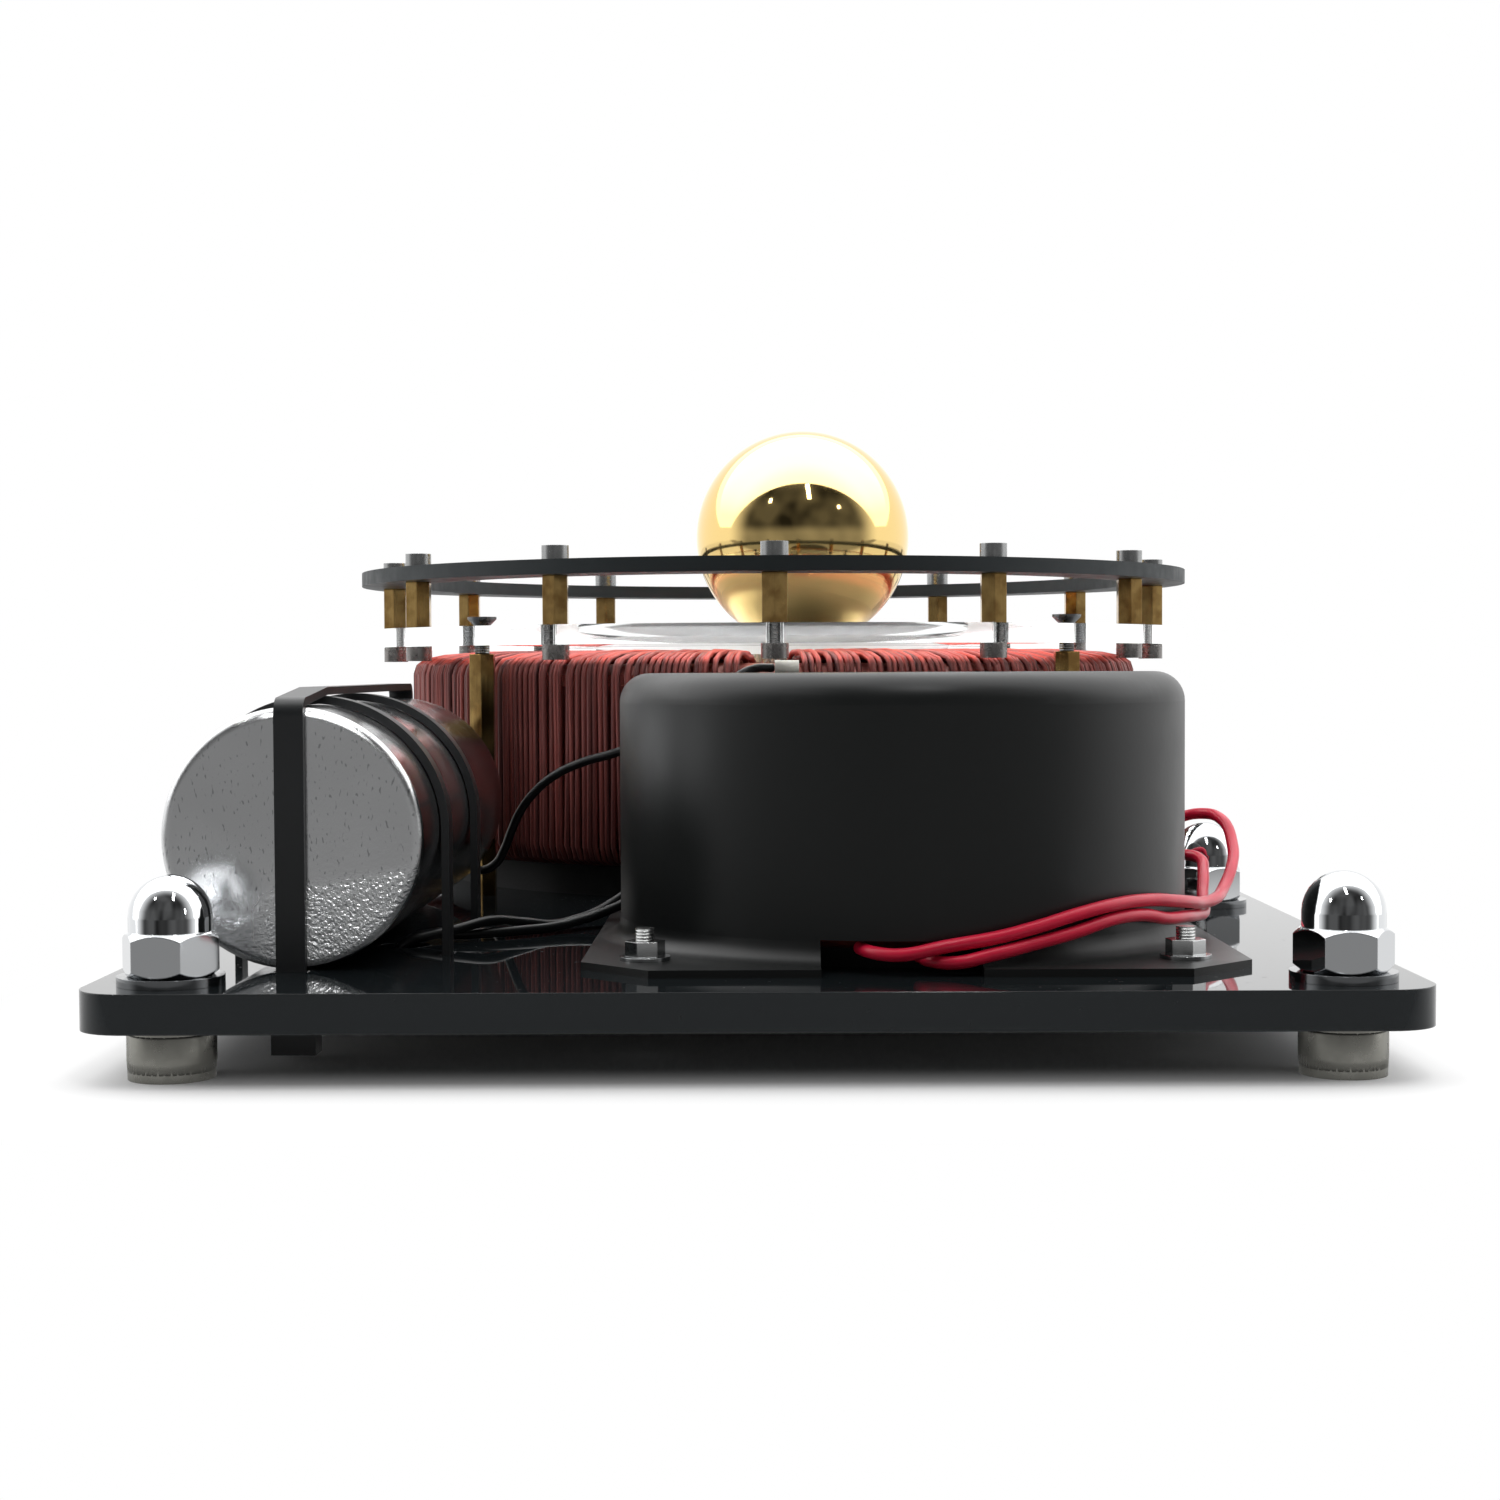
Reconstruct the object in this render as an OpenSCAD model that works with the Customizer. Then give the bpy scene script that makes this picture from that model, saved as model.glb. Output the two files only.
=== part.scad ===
// Spinning-ball demonstrator for rotating magnetic fields and eddy currents.
// A toroidal coil stands on an acrylic base under a clear dished stage. A hollow
// brass ball spins on the stage inside a fence ring. A bell-covered transformer
// and a phase-shift capacitor stand in front of the coil. All sizes are in mm,
// the floor is z = 0, the front of the base faces -Y and the base is centred on Z.

/* [Base and feet] */
// Thickness of the base sheet
base_t = 6; // [4:0.5:10]
// Corner radius of the base sheet
base_corner_r = 8; // [3:0.5:11]
// Gap from the front edge of the base to the transformer flange
front_margin = 15.5; // [14:0.5:24]
// Gap from the rear edge of the fence ring to the rear edge of the base
rear_margin = 2.5; // [0:0.5:20]
// Gap from the right edge of the base to the transformer flange
right_margin = 23; // [22:0.5:40]
// Distance of the feet from the side edges
foot_side_inset = 12.5; // [11:0.5:13]
// Distance of the feet from the front and rear edges
foot_end_inset = 11.5; // [10.5:0.5:14]
// Distance of the middle foot behind the transformer flange
mid_foot_behind = 2; // [0:0.5:12]
// Thread diameter of the feet bolts
foot_thread_d = 8; // [6:1:9]
// Diameter of the feet bolt heads
foot_head_d = 13; // [11:0.5:16]
// Height of the feet bolt heads
foot_head_h = 8; // [7.5:0.5:14]
// Hexagon key size of the feet bolts
foot_key_af = 6; // [4:0.5:7]
// Diameter of the washers under the dome nuts
foot_washer_d = 16; // [14:0.5:18]
// Thickness of the washers under the dome nuts
foot_washer_t = 1.4; // [0.8:0.1:2.4]
// Width across flats of the dome nuts
nut_af = 13; // [11:0.5:15]
// Height of the hexagon of the dome nuts
nut_hex_h = 6.5; // [5:0.5:9]
// Height of the dome above the hexagon
nut_dome_h = 8.5; // [6.5:0.5:10]
// Depth of the thread inside the dome nuts
nut_thread_h = 10; // [8:0.5:11]

/* [Coil] */
// Sideways offset of the coil from the middle of the base
coil_x = 3.5; // [-3:0.5:5]
// Gap between the transformer flange and the coil
coil_gap = 9.5; // [8:0.5:20]
// Outer diameter of the wound coil
coil_od = 167; // [150:1:172]
// Inner diameter of the wound coil
coil_inner_d = 80; // [70:1:90]
// Height of the wound coil
coil_h = 44.6; // [36:0.2:54]
// Rise of the crowned top of the coil above the top of its walls
coil_crown_h = 4.5; // [3:0.1:6]
// Width of the curve from the outer wall to the crown
coil_crown_out = 14; // [8:0.5:16]
// Width of the curve from the inner wall to the crown
coil_crown_in = 10; // [6:0.5:12]
// Corner radius under the wound section
coil_corner_r = 5; // [4.5:0.5:8]
// Loops drawn on the winding
coil_loops = 24; // [12:1:24]
// Thickness of the drawn loops
coil_wire_d = 3; // [2:0.2:3.6]
// Angle left free between the first and the last loop
coil_seam_deg = 10; // [8:1:20]
// Thickness of the turns between the core wrap and the outer loops
coil_layer_t = 6; // [4:0.5:8]
// Thickness of the insulating wrap on the core
core_wrap_t = 0.8; // [0.4:0.1:1.5]
// Diameter of the foam pad under the coil
coil_pad_d = 150; // [120:1:160]
// Thickness of the foam pad under the coil
coil_pad_t = 6.4; // [3:0.2:10]

/* [Stage and fence] */
// Gap between the crown of the coil and the stage
stage_clear = 0.7; // [0.4:0.1:5]
// Thickness of the clear stage
stage_t = 4; // [3:0.5:6]
// Radius of the dish in the stage
dish_r = 43; // [34:1:60]
// Depth of the dish in the stage
dish_sag = 3.7; // [2:0.1:6]
// Reach of the stage and of the fence ring beyond the coil
fence_reach = 11.2; // [9.6:0.1:15]
// Width of the fence ring
fence_band = 13; // [9:0.5:20]
// Thickness of the fence ring
fence_t = 3; // [2:0.5:5]
// Posts around the fence
fence_posts = 12; // [6:2:16]
// Height of the fence posts
fence_post_h = 10; // [9:0.5:20]
// Width across flats of the posts and pillars
post_af = 5; // [4.5:0.1:6]
// Thread that shows between the pillars and the stage
thread_show = 1.7; // [0.5:0.1:3]
// Angle of the pillars from the side axis
pillar_deg = 46; // [42:1:48]
// Gap between the pillars and the coil
pillar_clear = 0.8; // [0.5:0.1:3]

/* [Small screws] */
// Thread diameter of the small screws
screw_d = 3; // [2.5:0.1:3.4]
// Head diameter of the small cap screws
cap_head_d = 5.5; // [5:0.1:6.5]
// Head height of the small cap screws
cap_head_h = 3; // [2:0.1:3.6]
// Hexagon key size of the small cap screws
cap_key_af = 2.5; // [1.5:0.1:3]
// Head diameter of the countersunk stage screws
csk_head_d = 6; // [5:0.1:7]
// Thickness of the rim of the countersunk heads
csk_rim_t = 0.5; // [0.3:0.1:1]
// Length of thread that a screw holds in a post
thread_hold = 4; // [3:0.1:4.4]

/* [Ball] */
// Diameter of the ball
ball_d = 49.5; // [40:0.5:60]
// Wall of the hollow ball
ball_wall = 1.2; // [0.6:0.1:3]
// Sideways offset of the ball in the dish
ball_offset = 7; // [0:0.5:12]
// Gap between the ball and the dish
ball_gap = 0.3; // [0.3:0.05:0.6]

/* [Transformer] */
// Diameter of the transformer cover
can_d = 96.6; // [90:0.2:104]
// Height of the transformer cover
can_h = 46; // [40:0.5:60]
// Sheet thickness of the cover
can_wall = 1.2; // [0.8:0.1:2]
// Top edge radius of the cover
can_top_r = 5; // [3:0.5:8]
// Radius where the cover flares into its flange
can_flare_r = 3.5; // [2:0.5:5]
// Flat lip of the flange beyond the flare, at the middle of each side
flange_lip = 0.4; // [0.2:0.1:4]
// Corner cut of the flange
flange_chamfer = 11; // [8:0.5:12]
// Distance of the cover bolts from the side edges of the flange
cover_bolt_side = 9.9; // [8:0.1:10.2]
// Distance of the cover bolts from the front and rear edges of the flange
cover_bolt_end = 13.5; // [9:0.1:14]
// Diameter of the cover washers
cover_washer_d = 8; // [6:0.2:8.4]
// Thickness of the cover washers
cover_washer_t = 0.6; // [0.4:0.1:1]
// Width across flats of the cover nuts
cover_nut_af = 5.5; // [5:0.1:6]
// Height of the cover nuts
cover_nut_h = 2.4; // [1.8:0.1:3]
// Bolt that shows above the cover nuts
cover_bolt_show = 2; // [0.5:0.1:4]
// Width of the lead notch at the front of the cover
notch_w = 24.6; // [16:0.2:30]
// Height of the lead notch at the front of the cover
notch_h = 5; // [5:0.5:9]
// Sideways offset of the lead notch from the middle of the cover
notch_x = -2.7; // [-4:0.1:2]
// Thickness of the pads above and below the transformer
trafo_pad_t = 3; // [2:0.5:5]
// Gap between the transformer and the wall of its cover
trafo_clear = 3; // [2:0.5:6]
// Inner diameter of the transformer winding
trafo_inner_d = 26; // [16:1:34]
// Thickness of the turns on the transformer core
trafo_layer_t = 7; // [5:0.5:8]

/* [Capacitor] */
// Diameter of the capacitor
cap_d = 41; // [36:0.5:44]
// Length of the capacitor can
cap_len = 112; // [100:1:114]
// Wall of the capacitor can
cap_wall = 0.8; // [0.5:0.1:1.2]
// Edge radius of the capacitor can
cap_edge_r = 1.4; // [1:0.1:2]
// Width of the rolled lip at the rear of the capacitor can
cap_lip_w = 3; // [2:0.1:4]
// Gap from the left edge of the base to the capacitor
cap_side_gap = 7.2; // [6.5:0.1:12]
// Gap from the front edge of the base to the capacitor
cap_front_gap = 26.3; // [24:0.1:30]
// Least distance from the rear of the capacitor to the pillars behind it
cap_pillar_gap = 6; // [5:0.5:11]
// Gap between the capacitor and the transformer flange
cap_flange_gap = 24.4; // [22:0.1:40]
// Thickness of the end disc of the capacitor
cap_disc_t = 3; // [2:0.5:5]
// Width of the capacitor tabs
tab_w = 6.3; // [4.8:0.1:7]
// Thickness of the capacitor tabs
tab_t = 0.8; // [0.5:0.1:1.2]
// Length of the capacitor tabs
tab_len = 8; // [6:0.5:9]
// Distance of the tabs from the middle of the capacitor
tab_x = 9; // [7.5:0.5:12]

/* [Ties] */
// Width of the cable ties
tie_w = 4.6; // [3.6:0.1:6]
// Thickness of the cable ties
tie_t = 1.3; // [0.9:0.1:1.6]
// Distance of the first round tie from the capacitor front
tie_front_at = 22; // [14:1:40]
// Distance of the second round tie from the capacitor front
tie_rear_at = 60; // [50:1:90]
// Width of the cable tie heads
tie_head_w = 7; // [6.5:0.1:9]
// Height of the cable tie heads
tie_head_h = 4.5; // [3.5:0.1:5]
// Depth of the cable tie heads
tie_head_d = 5; // [4:0.1:7]
// Sideways offset of the heads of the round ties from the capacitor axis
tie_head_at = 11; // [7:0.5:16]

/* [Leads] */
// Diameter of the red transformer leads
red_lead_d = 2.1; // [1.8:0.1:2.2]
// Diameter of the black leads
black_lead_d = 1.8; // [1.4:0.1:1.9]
// Diameter of the sleeves on the coil ends
sleeve_d = 4; // [3.4:0.1:5]
// Length of the sleeves on the coil ends
sleeve_len = 8; // [6:0.5:10]

/* [Fits] */
// Radial gap between a screw and its thread
thread_gap = 0.05; // [0.03:0.01:0.1]
// Radial gap between a screw and a clear hole
hole_gap = 0.2; // [0.1:0.05:0.4]
// Gap between neighbouring wrapped or resting pieces
rest_gap = 0.15; // [0.1:0.05:0.3]

/* [Hidden] */
$fn = 96;
// Overshoot of a cut past the face that it opens
cut = 1;

// Plan of the base, from its front and left edges inwards
flange_half = can_d / 2 + can_flare_r + flange_lip;
base_w = cap_side_gap + cap_d + cap_flange_gap + 2 * flange_half + right_margin;
fence_od = coil_od + 2 * fence_reach;
post_r = post_af / 2 / cos(30);
pillar_r = coil_od / 2 + pillar_clear + post_r;
coil_from_front = max(front_margin + 2 * flange_half + coil_gap + coil_od / 2,
                      cap_front_gap + cap_len + cap_pillar_gap + pillar_r * sin(pillar_deg));
base_l = coil_from_front + fence_od / 2 + rear_margin;
base_z = foot_head_h;
base_top = base_z + base_t;
front_y = -base_l / 2;
left_x = -base_w / 2;
can_x = base_w / 2 - right_margin - flange_half;
can_y = front_y + front_margin + flange_half;
coil_y = front_y + coil_from_front;
foot_x = base_w / 2 - foot_side_inset;
foot_y = base_l / 2 - foot_end_inset;
mid_foot_y = can_y + flange_half + mid_foot_behind;
// Places of the feet, and how far each dome nut is turned
feet = [[-foot_x, -foot_y], [foot_x, -foot_y], [foot_x, mid_foot_y], [-foot_x, foot_y], [foot_x, foot_y]];
nut_turns = [54, 56, 22, 30, 12];

// Heights of the coil, stage and fence
coil_z = base_top + coil_pad_t;
coil_top = coil_z + coil_h;
crown_in_r = coil_inner_d / 2 + coil_crown_in;
stage_z = coil_top + stage_clear + max(0, dish_sag * (1 - pow(crown_in_r / dish_r, 2)));
stage_top = stage_z + stage_t;
fence_z = stage_top + fence_post_h;
fence_top = fence_z + fence_t;
fence_r = fence_od / 2 - fence_band / 2;
pillar_h = stage_z - thread_show - base_top;
pillars = [for (a = [pillar_deg, 180 - pillar_deg, 180 + pillar_deg, -pillar_deg])
           [coil_x + pillar_r * cos(a), coil_y + pillar_r * sin(a)]];
posts = [for (i = [0:fence_posts - 1]) let (a = 360 * i / fence_posts + 90)
         [coil_x + fence_r * cos(a), coil_y + fence_r * sin(a)]];

// The dish is part of a sphere, and the ball rests inside it
dish_ball_r = (dish_r * dish_r + dish_sag * dish_sag) / (2 * dish_sag);
dish_centre_z = stage_top - dish_sag + dish_ball_r;
ball_reach = dish_ball_r - ball_d / 2 - ball_gap;
ball_x = coil_x + ball_offset;
ball_z = dish_centre_z - sqrt(ball_reach * ball_reach - ball_offset * ball_offset);

// Wound section of the coil
wire_r = coil_wire_d / 2;
turns_in_r = coil_inner_d / 2 + coil_wire_d + rest_gap;
turns_out_r = coil_od / 2 - coil_wire_d - rest_gap;
turns_z0 = coil_z + coil_wire_d + rest_gap;
turns_z1 = coil_top - coil_wire_d - rest_gap;
loop_deg = (360 - coil_seam_deg) / coil_loops;
seam_deg = 270;

// Transformer under its cover
trafo_r = can_d / 2 - can_wall - trafo_clear;
trafo_z0 = base_top + trafo_pad_t;
trafo_z1 = base_top + can_h - can_wall - trafo_pad_t;
cover_bolt_x = flange_half - cover_bolt_side;
cover_bolt_y = flange_half - cover_bolt_end;
cover_bolt_at = [for (sx = [-1, 1], sy = [-1, 1]) [can_x + sx * cover_bolt_x, can_y + sy * cover_bolt_y]];
lead_hole_d = 7;
lead_hole_deg = 155;
lead_hole_z = base_top + lead_hole_d;

// Capacitor, lying along Y
cap_r = cap_d / 2;
cap_x = left_x + cap_side_gap + cap_r;
cap_y0 = front_y + cap_front_gap;
cap_y1 = cap_y0 + cap_len;
cap_z = base_top + cap_r + rest_gap;
tie_gap = rest_gap;
tie_slot_gap = 0.3;
long_tie_z = base_z - tie_t - tie_gap;

// Hole in the base where the black supply leads come up
base_lead_hole_d = 9;
base_lead_hole_at = [can_x - flange_half - 32.6, can_y - 7.65];

// Sleeves on the coil ends: azimuth and height of each on the outer wall
sleeve_places = [[283, coil_z + 0.215 * coil_h], [294, coil_z + 0.395 * coil_h]];
sleeve_end_r = turns_out_r + rest_gap + sleeve_len;
// The third one lies across the seam of the winding, near its top
top_sleeve_len = 0.6 * sleeve_len;
top_sleeve_at = [coil_x, coil_y - turns_out_r - rest_gap - wire_r, coil_top - 4.1];

// Routes of the leads, from where each leaves the object to where it goes back in. They are
// drawn for the sizes above, and each is carried along by the pieces at its two ends
function held(p, a, b) =
    let (n = len(p) - 1)
    [for (i = [0:n]) p[i] + (1 - i / n) * (a - p[0]) + i / n * (b - p[n])];
function on_coil(rz, deg) = [coil_x + rz[0] * cos(deg), coil_y + rz[0] * sin(deg), rz[1]];
function at_cover(deg, r, z) = [can_x + r * cos(deg), can_y + r * sin(deg), base_top + z];
lead_end_gap = 0.4;
red_long_route = held([
    [15.8, -132, 17.7], [18, -135.8, 17.3], [22, -137.8, 17.2], [29, -137.6, 18.5], [36.5, -136.2, 19.6],
    [43, -134, 21], [49.6, -130.8, 22.6], [56.6, -126, 23.7], [62.6, -120, 23.7], [67.4, -113.4, 22.9],
    [71.6, -105.6, 21.9], [75, -96.6, 20.9], [79.2, -87.4, 20.7], [82, -79, 21.4], [85.2, -71, 24.8],
    [86.8, -63.6, 28.2], [86.4, -56, 32.2], [83.4, -48.8, 33], [76.4, -43.4, 31], [66, -39.6, 31.4],
    [55, -36, 34], [46.4, -31.8, 37], [41.6, -27.4, 38], [39.6, -23.2, 38]],
    [can_x + notch_x - 6.3, can_y - trafo_r - 0.55, base_top + 3.7],
    on_coil([sleeve_end_r + lead_end_gap, sleeve_places[1][1]], sleeve_places[1][0]));
red_short_route = held([
    [25, -132.6, 16.4], [26.4, -135.6, 16.1], [30, -138, 16], [35.4, -137.2, 17], [42, -134.4, 18.3],
    [49.2, -131, 19.8], [56, -126.4, 21.4], [61, -121.8, 21.5], [65.8, -115.8, 20.3], [70, -108.4, 19.8],
    [73.6, -98.6, 19], [76.9, -89, 18.6], [78.2, -80.6, 20.6], [79.8, -72.6, 24], [80.4, -66, 25.8],
    [78, -60.4, 26.2], [72, -54.4, 25.8], [62.4, -48, 26], [52, -42.6, 27], [41.4, -37.6, 28.6],
    [32.4, -35.2, 29.8], [26, -33.4, 30], [23.5, -28.7, 30]],
    [can_x + notch_x + 2.9, can_y - trafo_r - 1.15, base_top + 2.4],
    on_coil([sleeve_end_r + lead_end_gap, sleeve_places[0][1]], sleeve_places[0][0]));
black_coil_route = held([
    [-61.9, -13, 36], [-61.9, -13, 32], [-61.9, -13, 28.4], [-61.9, -13, 24.8], [-60.4, -13.2, 21.3],
    [-57, -13.6, 19.8], [-53.6, -14.2, 21.2], [-51.7, -15, 24.2], [-50.1, -16.2, 28], [-48, -18, 32.2],
    [-44.8, -20.2, 36.2], [-40.4, -22.8, 39.7], [-35, -25.4, 42.2], [-28.8, -28, 44], [-22, -30, 46.4],
    [-15.4, -30.8, 50.2], [-9.6, -30, 54.8], [-4.8, -28, 58.6], [-0.6, -26, 60.7], [3.1, -24.4, 60.9]],
    [cap_x + tab_x + tab_t / 2 + black_lead_d / 2 + 0.1, cap_y1 - cap_wall + tab_len / 2 + 0.55, cap_z + 1.4],
    top_sleeve_at - [lead_end_gap, 0, 0]);
black_left_route = held([
    [-62.4, -93.6, 8.4], [-62.2, -93.5, 10.2], [-61.2, -93.1, 12.9], [-59, -92.3, 14.8], [-55.8, -91.2, 15.5],
    [-51.6, -89.6, 15.2], [-46.4, -87.2, 15.2], [-41, -83.6, 15.2], [-36, -79, 15.3], [-32, -73.6, 15.8],
    [-28.8, -69.4, 16.5], [-25.6, -66.8, 17.6], [-22, -66, 19.2], [-18.6, -67, 20.2], [-15.9, -68.3, 20.2]],
    [base_lead_hole_at[0] - 2.4, base_lead_hole_at[1] + 1.4, base_z + 0.4],
    at_cover(lead_hole_deg, trafo_r + 0.95, 6.2));
black_right_route = held([
    [-62.4, -97.2, 8.4], [-62.2, -97.1, 10.2], [-61.2, -96.7, 12.9], [-59, -95.8, 14.8], [-55.8, -94.2, 15.6],
    [-51.4, -91.8, 16.4], [-46.2, -87.2, 17.3], [-41.4, -81.2, 16.4], [-36.4, -76.4, 15.4], [-32.6, -71, 15.8],
    [-29.4, -66.8, 16.6], [-26, -64.2, 18.4], [-22.2, -63.8, 20.8], [-18.6, -65.4, 22.6], [-15.2, -67.2, 22.6]],
    [base_lead_hole_at[0] - 2.4, base_lead_hole_at[1] - 2.2, base_z + 0.4],
    at_cover(lead_hole_deg - 1.7, trafo_r + 0.7, 8.6));

// Vector helpers for the swept tubes
function unit(v) = v / norm(v);
function square_to(n, t) = unit(n - (n * t) * t);
function tangent(p, i) = unit(p[min(i + 1, len(p) - 1)] - p[max(i - 1, 0)]);
function any_square(t) = square_to(abs(t[2]) < 0.9 ? [0, 0, 1] : [1, 0, 0], t);
function carried(p) = [
    for (i = 0, n = any_square(tangent(p, 0)); i < len(p);
         i = i + 1, n = square_to(n, tangent(p, min(i, len(p) - 1)))) n];

// One round tube along the points p, closed at both ends
module tube(p, d, sides) {
    n = carried(p);
    last = (len(p) - 1) * sides;
    rings = [for (i = [0:len(p) - 1], k = [0:sides - 1])
             let (t = tangent(p, i), a = 360 * k / sides)
             p[i] + d / 2 * (cos(a) * n[i] + sin(a) * cross(t, n[i]))];
    wall = [for (i = [0:len(p) - 2], k = [0:sides - 1], half = [0, 1])
            let (a = i * sides + k, b = i * sides + (k + 1) % sides)
            half == 0 ? [a, a + sides, b] : [b, a + sides, b + sides]];
    caps = [for (k = [1:sides - 2], end = [0, 1])
            end == 0 ? [0, k, k + 1] : [last, last + k + 1, last + k]];
    polyhedron(points = rings, faces = concat(wall, caps));
}

// Points of the winding: up the outer wall, in over the crown, down the inner wall
// and out below the coil, where each loop steps on to the next
function curve_points(c, w, h, from) = [for (a = [0, 30, 60, 90]) c + [w * cos(from + a), h * sin(from + a)]];
function between(a, b) = [for (s = [1 / 3, 2 / 3]) a + s * (b - a)];
function section_loop(inset) =
    let (r0 = coil_inner_d / 2 + inset, r1 = coil_od / 2 - inset, z0 = coil_z + inset, z1 = coil_top - inset,
         c = coil_corner_r, h = coil_crown_h, w1 = coil_crown_out, w0 = coil_crown_in,
         top_out = curve_points([r1 - w1, z1 - h], w1, h, 0), top_in = curve_points([r0 + w0, z1 - h], w0, h, 90),
         low_in = curve_points([r0 + c, z0 + c], c, c, 180), low_out = curve_points([r1 - c, z0 + c], c, c, 270))
    concat(between(low_out[3], top_out[0]), top_out, between(top_out[3], top_in[0]), top_in,
           between(top_in[3], low_in[0]), low_in, between(low_in[3], low_out[0]), low_out);
function step_share(j) = j < 18 ? 0 : j == 18 ? 1 / 3 : j == 19 ? 2 / 3 : 1;
function winding_points() =
    let (s = section_loop(wire_r), start = s[len(s) - 1], first = seam_deg + coil_seam_deg / 2)
    concat([on_coil(start, first)],
           [for (k = [0:coil_loops - 1], j = [0:len(s) - 1])
            on_coil(s[j], first + loop_deg * (k + step_share(j)))],
           [on_coil(start + [0, coil_wire_d], first + loop_deg * coil_loops)]);

// Least distance between the tube of one loop and that of the next loop, less its diameter
function loop_gap(p) =
    min([for (j = [0:23], i = [0:23]) norm(p[1 + j] - p[1 + 24 + i])]) - coil_wire_d;
winding = winding_points();
echo(least_gap_of_the_winding_to_itself = loop_gap(winding));

// A ring with a rounded rectangular section, made by turning its profile
module rounded_ring(r0, r1, z0, z1, c) {
    rotate_extrude() {
        translate([r0 + c, z0]) square([r1 - r0 - 2 * c, z1 - z0]);
        translate([r0, z0 + c]) square([r1 - r0, z1 - z0 - 2 * c]);
        for (r = [r0 + c, r1 - c], z = [z0 + c, z1 - c])
            translate([r, z]) circle(c);
    }
}

module disc(d, h) { cylinder(d = d, h = h); }

module hexagon(af, h) { cylinder(d = af / cos(30), h = h, $fn = 6); }

// A socket cap screw whose head stands on z = 0 and whose thread hangs below it
module cap_screw(d, length, head_d, head_h, key_af) {
    difference() {
        union() {
            disc(head_d, head_h);
            translate([0, 0, -length]) disc(d, length);
        }
        translate([0, 0, head_h / 2]) hexagon(key_af, head_h / 2 + cut);
    }
}

// Base and feet

module base_outline() {
    w = base_w - 2 * base_corner_r;
    l = base_l - 2 * base_corner_r;
    square([base_w, l], center = true);
    square([w, base_l], center = true);
    for (sx = [-1, 1], sy = [-1, 1])
        translate([sx * w / 2, sy * l / 2]) circle(base_corner_r);
}

// A straight slot in the base for a strap of the given width and thickness
module strap_slot(w, t) {
    translate([0, 0, base_z - cut + (base_t + 2 * cut) / 2])
        cube([w + 2 * tie_slot_gap, t + 2 * tie_slot_gap, base_t + 2 * cut], center = true);
}

module base_plate() {
    color("#15171a")
    difference() {
        translate([0, 0, base_z]) linear_extrude(base_t) base_outline();
        translate([0, 0, base_z - cut]) {
            for (p = feet)
                translate(p) disc(foot_thread_d + 2 * hole_gap, base_t + 2 * cut);
            for (p = concat(pillars, cover_bolt_at))
                translate(p) disc(screw_d + 2 * hole_gap, base_t + 2 * cut);
            translate(base_lead_hole_at) disc(base_lead_hole_d, base_t + 2 * cut);
        }
        for (y = [cap_y0 - tie_gap - tie_t / 2, cap_y1 + tie_gap + tie_t / 2])
            translate([cap_x, y, 0]) strap_slot(tie_w, tie_t);
        for (at = [tie_front_at, tie_rear_at], side = [-1, 1])
            translate([cap_x + side * (cap_r + tie_gap + tie_t / 2), cap_y0 + at, 0])
                strap_slot(tie_t, tie_w);
    }
}

module foot_bolts() {
    color("#b9bab8")
    for (p = feet)
        translate([p[0], p[1], base_z]) mirror([0, 0, 1])
            cap_screw(foot_thread_d, base_t + foot_washer_t + nut_thread_h - cut, foot_head_d,
                      foot_head_h, foot_key_af);
}

module foot_washers() {
    color("#d5d6d8")
    for (p = feet)
        translate([p[0], p[1], base_top])
            difference() {
                disc(foot_washer_d, foot_washer_t);
                translate([0, 0, -cut]) disc(foot_thread_d + 2 * hole_gap, foot_washer_t + 2 * cut);
            }
}

// A hexagon on z = 0 whose corners are turned off at 30 degrees above and below
module chamfered_hexagon(af, h) {
    flat_r = 0.485 * af;
    out_r = af / 2 / cos(30) + cut;
    slope = (out_r - flat_r) * tan(40);
    intersection() {
        hexagon(af, h);
        rotate_extrude()
            polygon([[0, 0], [flat_r, 0], [out_r, slope], [out_r, h - slope], [flat_r, h], [0, h]]);
    }
}

// A dome nut standing on z = 0
module dome_nut() {
    dome_r = nut_af / 2 - 0.3;
    straight = max(nut_dome_h - dome_r, 0);
    difference() {
        union() {
            chamfered_hexagon(nut_af, nut_hex_h);
            translate([0, 0, nut_hex_h]) disc(2 * dome_r, straight);
            intersection() {
                translate([0, 0, nut_hex_h + straight]) sphere(r = dome_r);
                translate([0, 0, nut_hex_h]) disc(nut_af, nut_dome_h);
            }
        }
        translate([0, 0, -cut]) disc(foot_thread_d + 2 * thread_gap, nut_thread_h + cut);
    }
}

module dome_nuts() {
    color("#e3e5e8")
    for (i = [0:len(feet) - 1])
        translate([feet[i][0], feet[i][1], base_top + foot_washer_t]) rotate(nut_turns[i]) dome_nut();
}

// Coil

module coil_pad() {
    color("#1b1b1c")
    translate([coil_x, coil_y, base_top]) disc(coil_pad_d, coil_pad_t);
}

module coil_core() {
    t = coil_layer_t + core_wrap_t;
    color("#7c7f84")
    translate([coil_x, coil_y, 0])
        rotate_extrude()
            translate([turns_in_r + t, turns_z0 + t])
                square([turns_out_r - turns_in_r - 2 * t, turns_z1 - turns_z0 - 2 * t]);
}

module core_wrap() {
    t = coil_layer_t + thread_gap;
    i = coil_layer_t + core_wrap_t - thread_gap;
    color("#e8e2c8")
    translate([coil_x, coil_y, 0])
        rotate_extrude()
            difference() {
                translate([turns_in_r + t, turns_z0 + t])
                    square([turns_out_r - turns_in_r - 2 * t, turns_z1 - turns_z0 - 2 * t]);
                translate([turns_in_r + i, turns_z0 + i])
                    square([turns_out_r - turns_in_r - 2 * i, turns_z1 - turns_z0 - 2 * i]);
            }
}

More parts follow.
